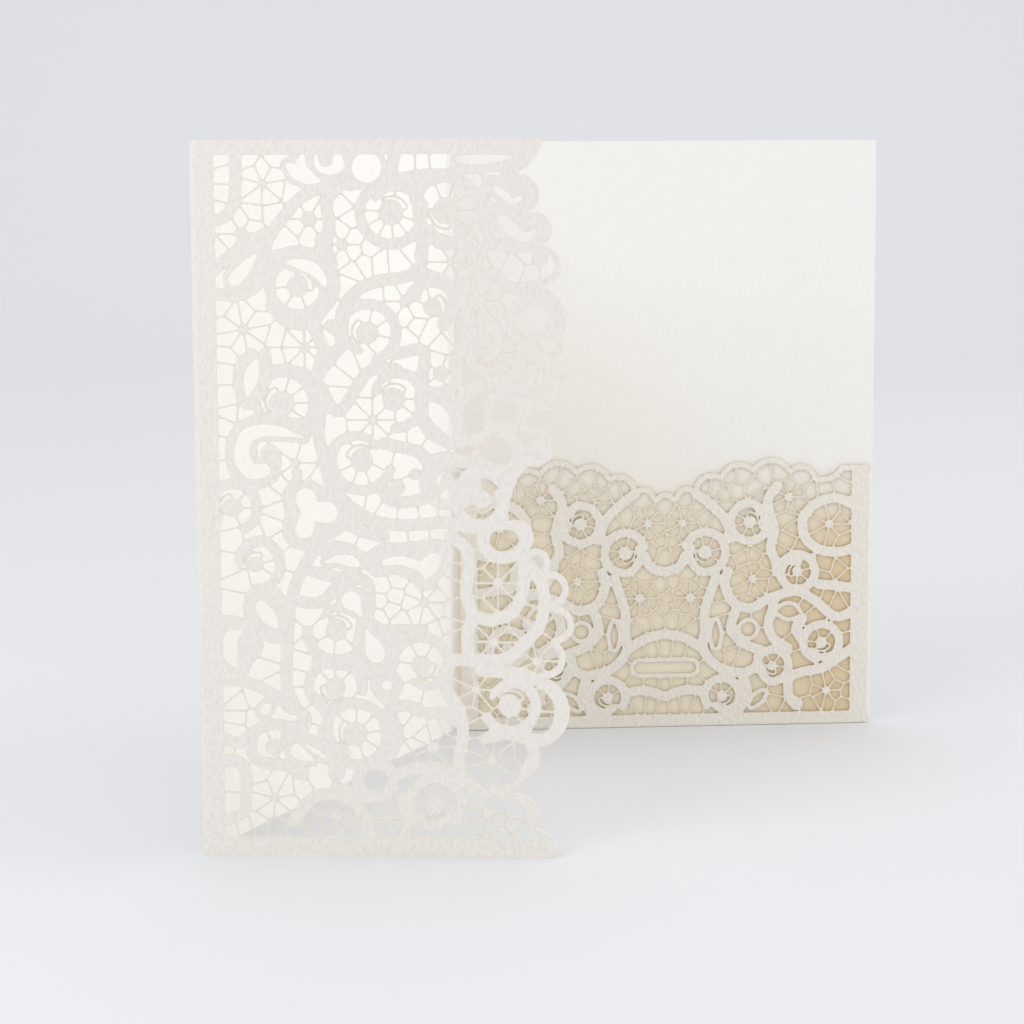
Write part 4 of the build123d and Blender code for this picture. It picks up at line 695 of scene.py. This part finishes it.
def card_material(name, colour, relief, mottle, tones):
    """Felt-marked card: a slanting noise on the flat sheet makes its relief and mottles it. Each
    tone multiplies the colour over a field of the sheet, which is the product of fades along u or
    v, from 0 at one place to 1 at another, in the unit of the UV map. Last the browned places are
    multiplied by the browning."""
    material = bpy.data.materials.new(name)
    material.use_nodes = True
    nodes, links = material.node_tree.nodes, material.node_tree.links
    shader = nodes["Principled BSDF"]
    shader.inputs["Roughness"].default_value = 0.9
    shader.inputs["Specular IOR Level"].default_value = 0.25
    place = nodes.new("ShaderNodeTexCoord")
    slant = nodes.new("ShaderNodeMapping")
    slant.inputs["Rotation"].default_value = (0, 0, -0.8)
    slant.inputs["Scale"].default_value = (1, 0.55, 1)
    links.new(place.outputs["UV"], slant.inputs["Vector"])
    felt = nodes.new("ShaderNodeTexNoise")
    felt.inputs["Scale"].default_value = 100
    felt.inputs["Detail"].default_value = 2
    felt.inputs["Roughness"].default_value = 0.5
    links.new(slant.outputs["Vector"], felt.inputs["Vector"])
    bump = nodes.new("ShaderNodeBump")
    bump.inputs["Strength"].default_value = relief
    bump.inputs["Distance"].default_value = 0.0004
    links.new(felt.outputs["Fac"], bump.inputs["Height"])
    links.new(bump.outputs["Normal"], shader.inputs["Normal"])
    ramp = nodes.new("ShaderNodeValToRGB")
    dark, light = ramp.color_ramp.elements
    dark.position, light.position = 0.3, 0.7
    dark.color = (*[c * (1 - mottle) for c in colour], 1)
    light.color = (*colour, 1)
    links.new(felt.outputs["Fac"], ramp.inputs["Fac"])
    flat = nodes.new("ShaderNodeSeparateXYZ")
    links.new(place.outputs["UV"], flat.inputs["Vector"])

    def faded(axis, start, end):
        """A smooth fade along u or v, from 0 at the start to 1 at the end."""
        fade = nodes.new("ShaderNodeMapRange")
        fade.interpolation_type = "SMOOTHSTEP"
        fade.inputs["From Min"].default_value = min(start, end)
        fade.inputs["From Max"].default_value = max(start, end)
        fade.inputs["To Min"].default_value = float(start > end)
        fade.inputs["To Max"].default_value = float(end > start)
        links.new(flat.outputs[axis], fade.inputs["Value"])
        return fade.outputs["Result"]

    def product(one, other):
        """One field times another."""
        both = nodes.new("ShaderNodeMath")
        both.operation = "MULTIPLY"
        links.new(one, both.inputs[0])
        links.new(other, both.inputs[1])
        return both.outputs["Value"]

    def toned(shade, tone, field):
        """The shade times a tone, as far as a field says."""
        mix = nodes.new("ShaderNodeMix")
        mix.data_type = "RGBA"
        mix.blend_type = "MULTIPLY"
        links.new(field, mix.inputs["Factor"])
        links.new(shade, mix.inputs["A"])
        mix.inputs["B"].default_value = (*tone, 1)
        return mix.outputs["Result"]

    shade = ramp.outputs["Color"]
    for tone, *fades in tones:
        field = faded(*fades[0])
        for fade in fades[1:]:
            field = product(field, faded(*fade))
        shade = toned(shade, tone, field)
    browned = nodes.new("ShaderNodeAttribute")
    browned.attribute_name = "toast"
    shade = toned(shade, browning, browned.outputs["Fac"])
    links.new(shade, shader.inputs["Base Color"])
    return material


pocket_side = 1, 0.01, -0.01
back_panel = (0, 2.235, 2.255), (0, 3.505, 3.495)
# Painted shade on the inner face: the back panel is darker and warmer towards its lower left, where flap
# and middle panel shade it. Behind the pocket is a painted gold shade, warmed as if by light reflected in
# the card, which deepens to tan at the lower right.
inner_painted_shade = [
    ((0.985, 0.965, 0.92), *back_panel, (0, 3.4, 2.3), (1, 1.45, 0.85)),
    ((1.0, 0.95, 0.82), *back_panel, (1, 0.84, 0.50)),
    ((0.90, 0.81, 0.66), *back_panel, (0, 3.0, 3.4), (1, 0.82, 0.45)),
]
finishes = [
    ("card inner face", (0.925, 0.91, 0.875), 0.3, 0.02, inner_painted_shade),
    # The outer face is darker and warmer than the inner face, partly the felt side's own tone and partly
    # painted shade. Its pocket part is lightened a little as painted light.
    ("card outer face", (0.875, 0.84, 0.788), 1.0, 0.07, [((1.02, 1.005, 0.965), pocket_side)]),
    # The pocket's cut edges are darkened to tan as painted shade in its holes.
    ("card cut edge", (0.90, 0.86, 0.78), 0.1, 0.02, [((0.95, 0.82, 0.60), pocket_side)]),
]
for finish in finishes:
    sheet_piece.data.materials.append(card_material(*finish))


# The glue tabs: a strip of the same card folded in at each side of the pocket and glued to both
# walls, seen only as a thin line from the side.
tab_width, tab_relief = 5.0, 2.0
tab_v, tab_u = (a.ravel() for a in np.meshgrid([turn_height + tab_relief, pocket_height - tab_relief],
                                               [0, tab_width], indexing="ij"))
for name, side in (("left_tab", pocket_inset), ("right_tab", panel_width - pocket_inset - tab_width)):
    place, normal, flat, corners = on_sheet(back_q + side + tab_u, tab_v, grid_corners(2, 2))
    patch = place + normal * turn_radius, normal, flat, corners
    tab = card_mesh(name, *board([patch], pocket_gap))
    for finish in sheet_piece.data.materials:
        tab.data.materials.append(finish)
    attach(tab, "root")


# The studio: one pale sweep that is floor and backdrop in one, a low lamp at the right that shines
# in between flap and back panel, weak lamps at the left and overhead, and an even pale world.
sweep_front, sweep_curve, sweep_radius, sweep_top = -3.0, 1.2, 1.2, 4.0
sweep_half = 5.0
bend = np.linspace(0.1, math.pi / 2, 16)
level_y = np.linspace(sweep_front, sweep_curve, 8)
sweep_y = np.concatenate([level_y, sweep_curve + sweep_radius * np.sin(bend), [sweep_curve + sweep_radius]])
sweep_z = np.concatenate([np.zeros(len(level_y)), sweep_radius - sweep_radius * np.cos(bend), [sweep_top]])
sweep_x = np.tile([-sweep_half, sweep_half], len(sweep_y))
sweep_points = np.stack([sweep_x, np.repeat(sweep_y, 2), np.repeat(sweep_z, 2)], 1)
cells = grid_corners(2, len(sweep_y))
sweep_mesh = bpy.data.meshes.new("floor")
sweep_mesh.from_pydata(sweep_points.tolist(), [], cells.tolist())
sweep_mesh.polygons.foreach_set("use_smooth", np.ones(len(cells), bool))
floor = bpy.data.objects.new("floor", sweep_mesh)
bpy.context.scene.collection.objects.link(floor)
paint = bpy.data.materials.new("pale sweep")
paint.use_nodes = True
surface = paint.node_tree.nodes["Principled BSDF"].inputs
surface["Base Color"].default_value = (0.80, 0.81, 0.83, 1)
surface["Roughness"].default_value = 1.0
surface["Specular IOR Level"].default_value = 0.0
floor.data.materials.append(paint)


def soft_lamp(name, place, target, size, power, colour):
    """A square area lamp at a place, facing a target."""
    lamp = bpy.data.lights.new(name, "AREA")
    lamp.size, lamp.energy, lamp.color = size, power, colour
    holder = bpy.data.objects.new(name, lamp)
    holder.location = place
    holder.rotation_euler = (Vector(target) - Vector(place)).to_track_quat("-Z", "Y").to_euler()
    bpy.context.scene.collection.objects.link(holder)


card_middle = 0, 0, 0.09
warm = 1.0, 0.985, 0.96
soft_lamp("right", (1.36, 0.0, 0.26), card_middle, 0.45, 5.8, warm)
soft_lamp("left", (-0.55, -0.55, 0.55), card_middle, 0.4, 1.6, warm)
soft_lamp("overhead", (0, 1.0, 1.9), (0, 0.4, 0), 1.6, 4.5, (1.0, 0.99, 0.98))
world = bpy.data.worlds.new("studio")
world.use_nodes = True
sky = world.node_tree.nodes["Background"].inputs
sky["Color"].default_value = (0.98, 0.985, 1.0, 1)
sky["Strength"].default_value = 0.86
bpy.context.scene.world = world


# The camera: a long lens nearly level with the card, where the corners of the panels in the
# photograph put it, in millimetres before the card was moved to the middle of its frame.
camera_place = 64.9, -523.5, 173.9
camera_turn = 84.32, 0.306, -1.365
camera_data = bpy.data.cameras.new("camera")
camera_data.lens = 75.31
camera_data.sensor_width = 36
camera_data.shift_y = -0.14
camera = bpy.data.objects.new("camera", camera_data)
camera.location = (np.array(camera_place) + (shift[0], shift[1], 0)) * mm
camera.rotation_euler = np.radians(camera_turn)
bpy.context.scene.collection.objects.link(camera)
bpy.context.scene.camera = camera
bpy.context.scene.view_settings.view_transform = "Standard"
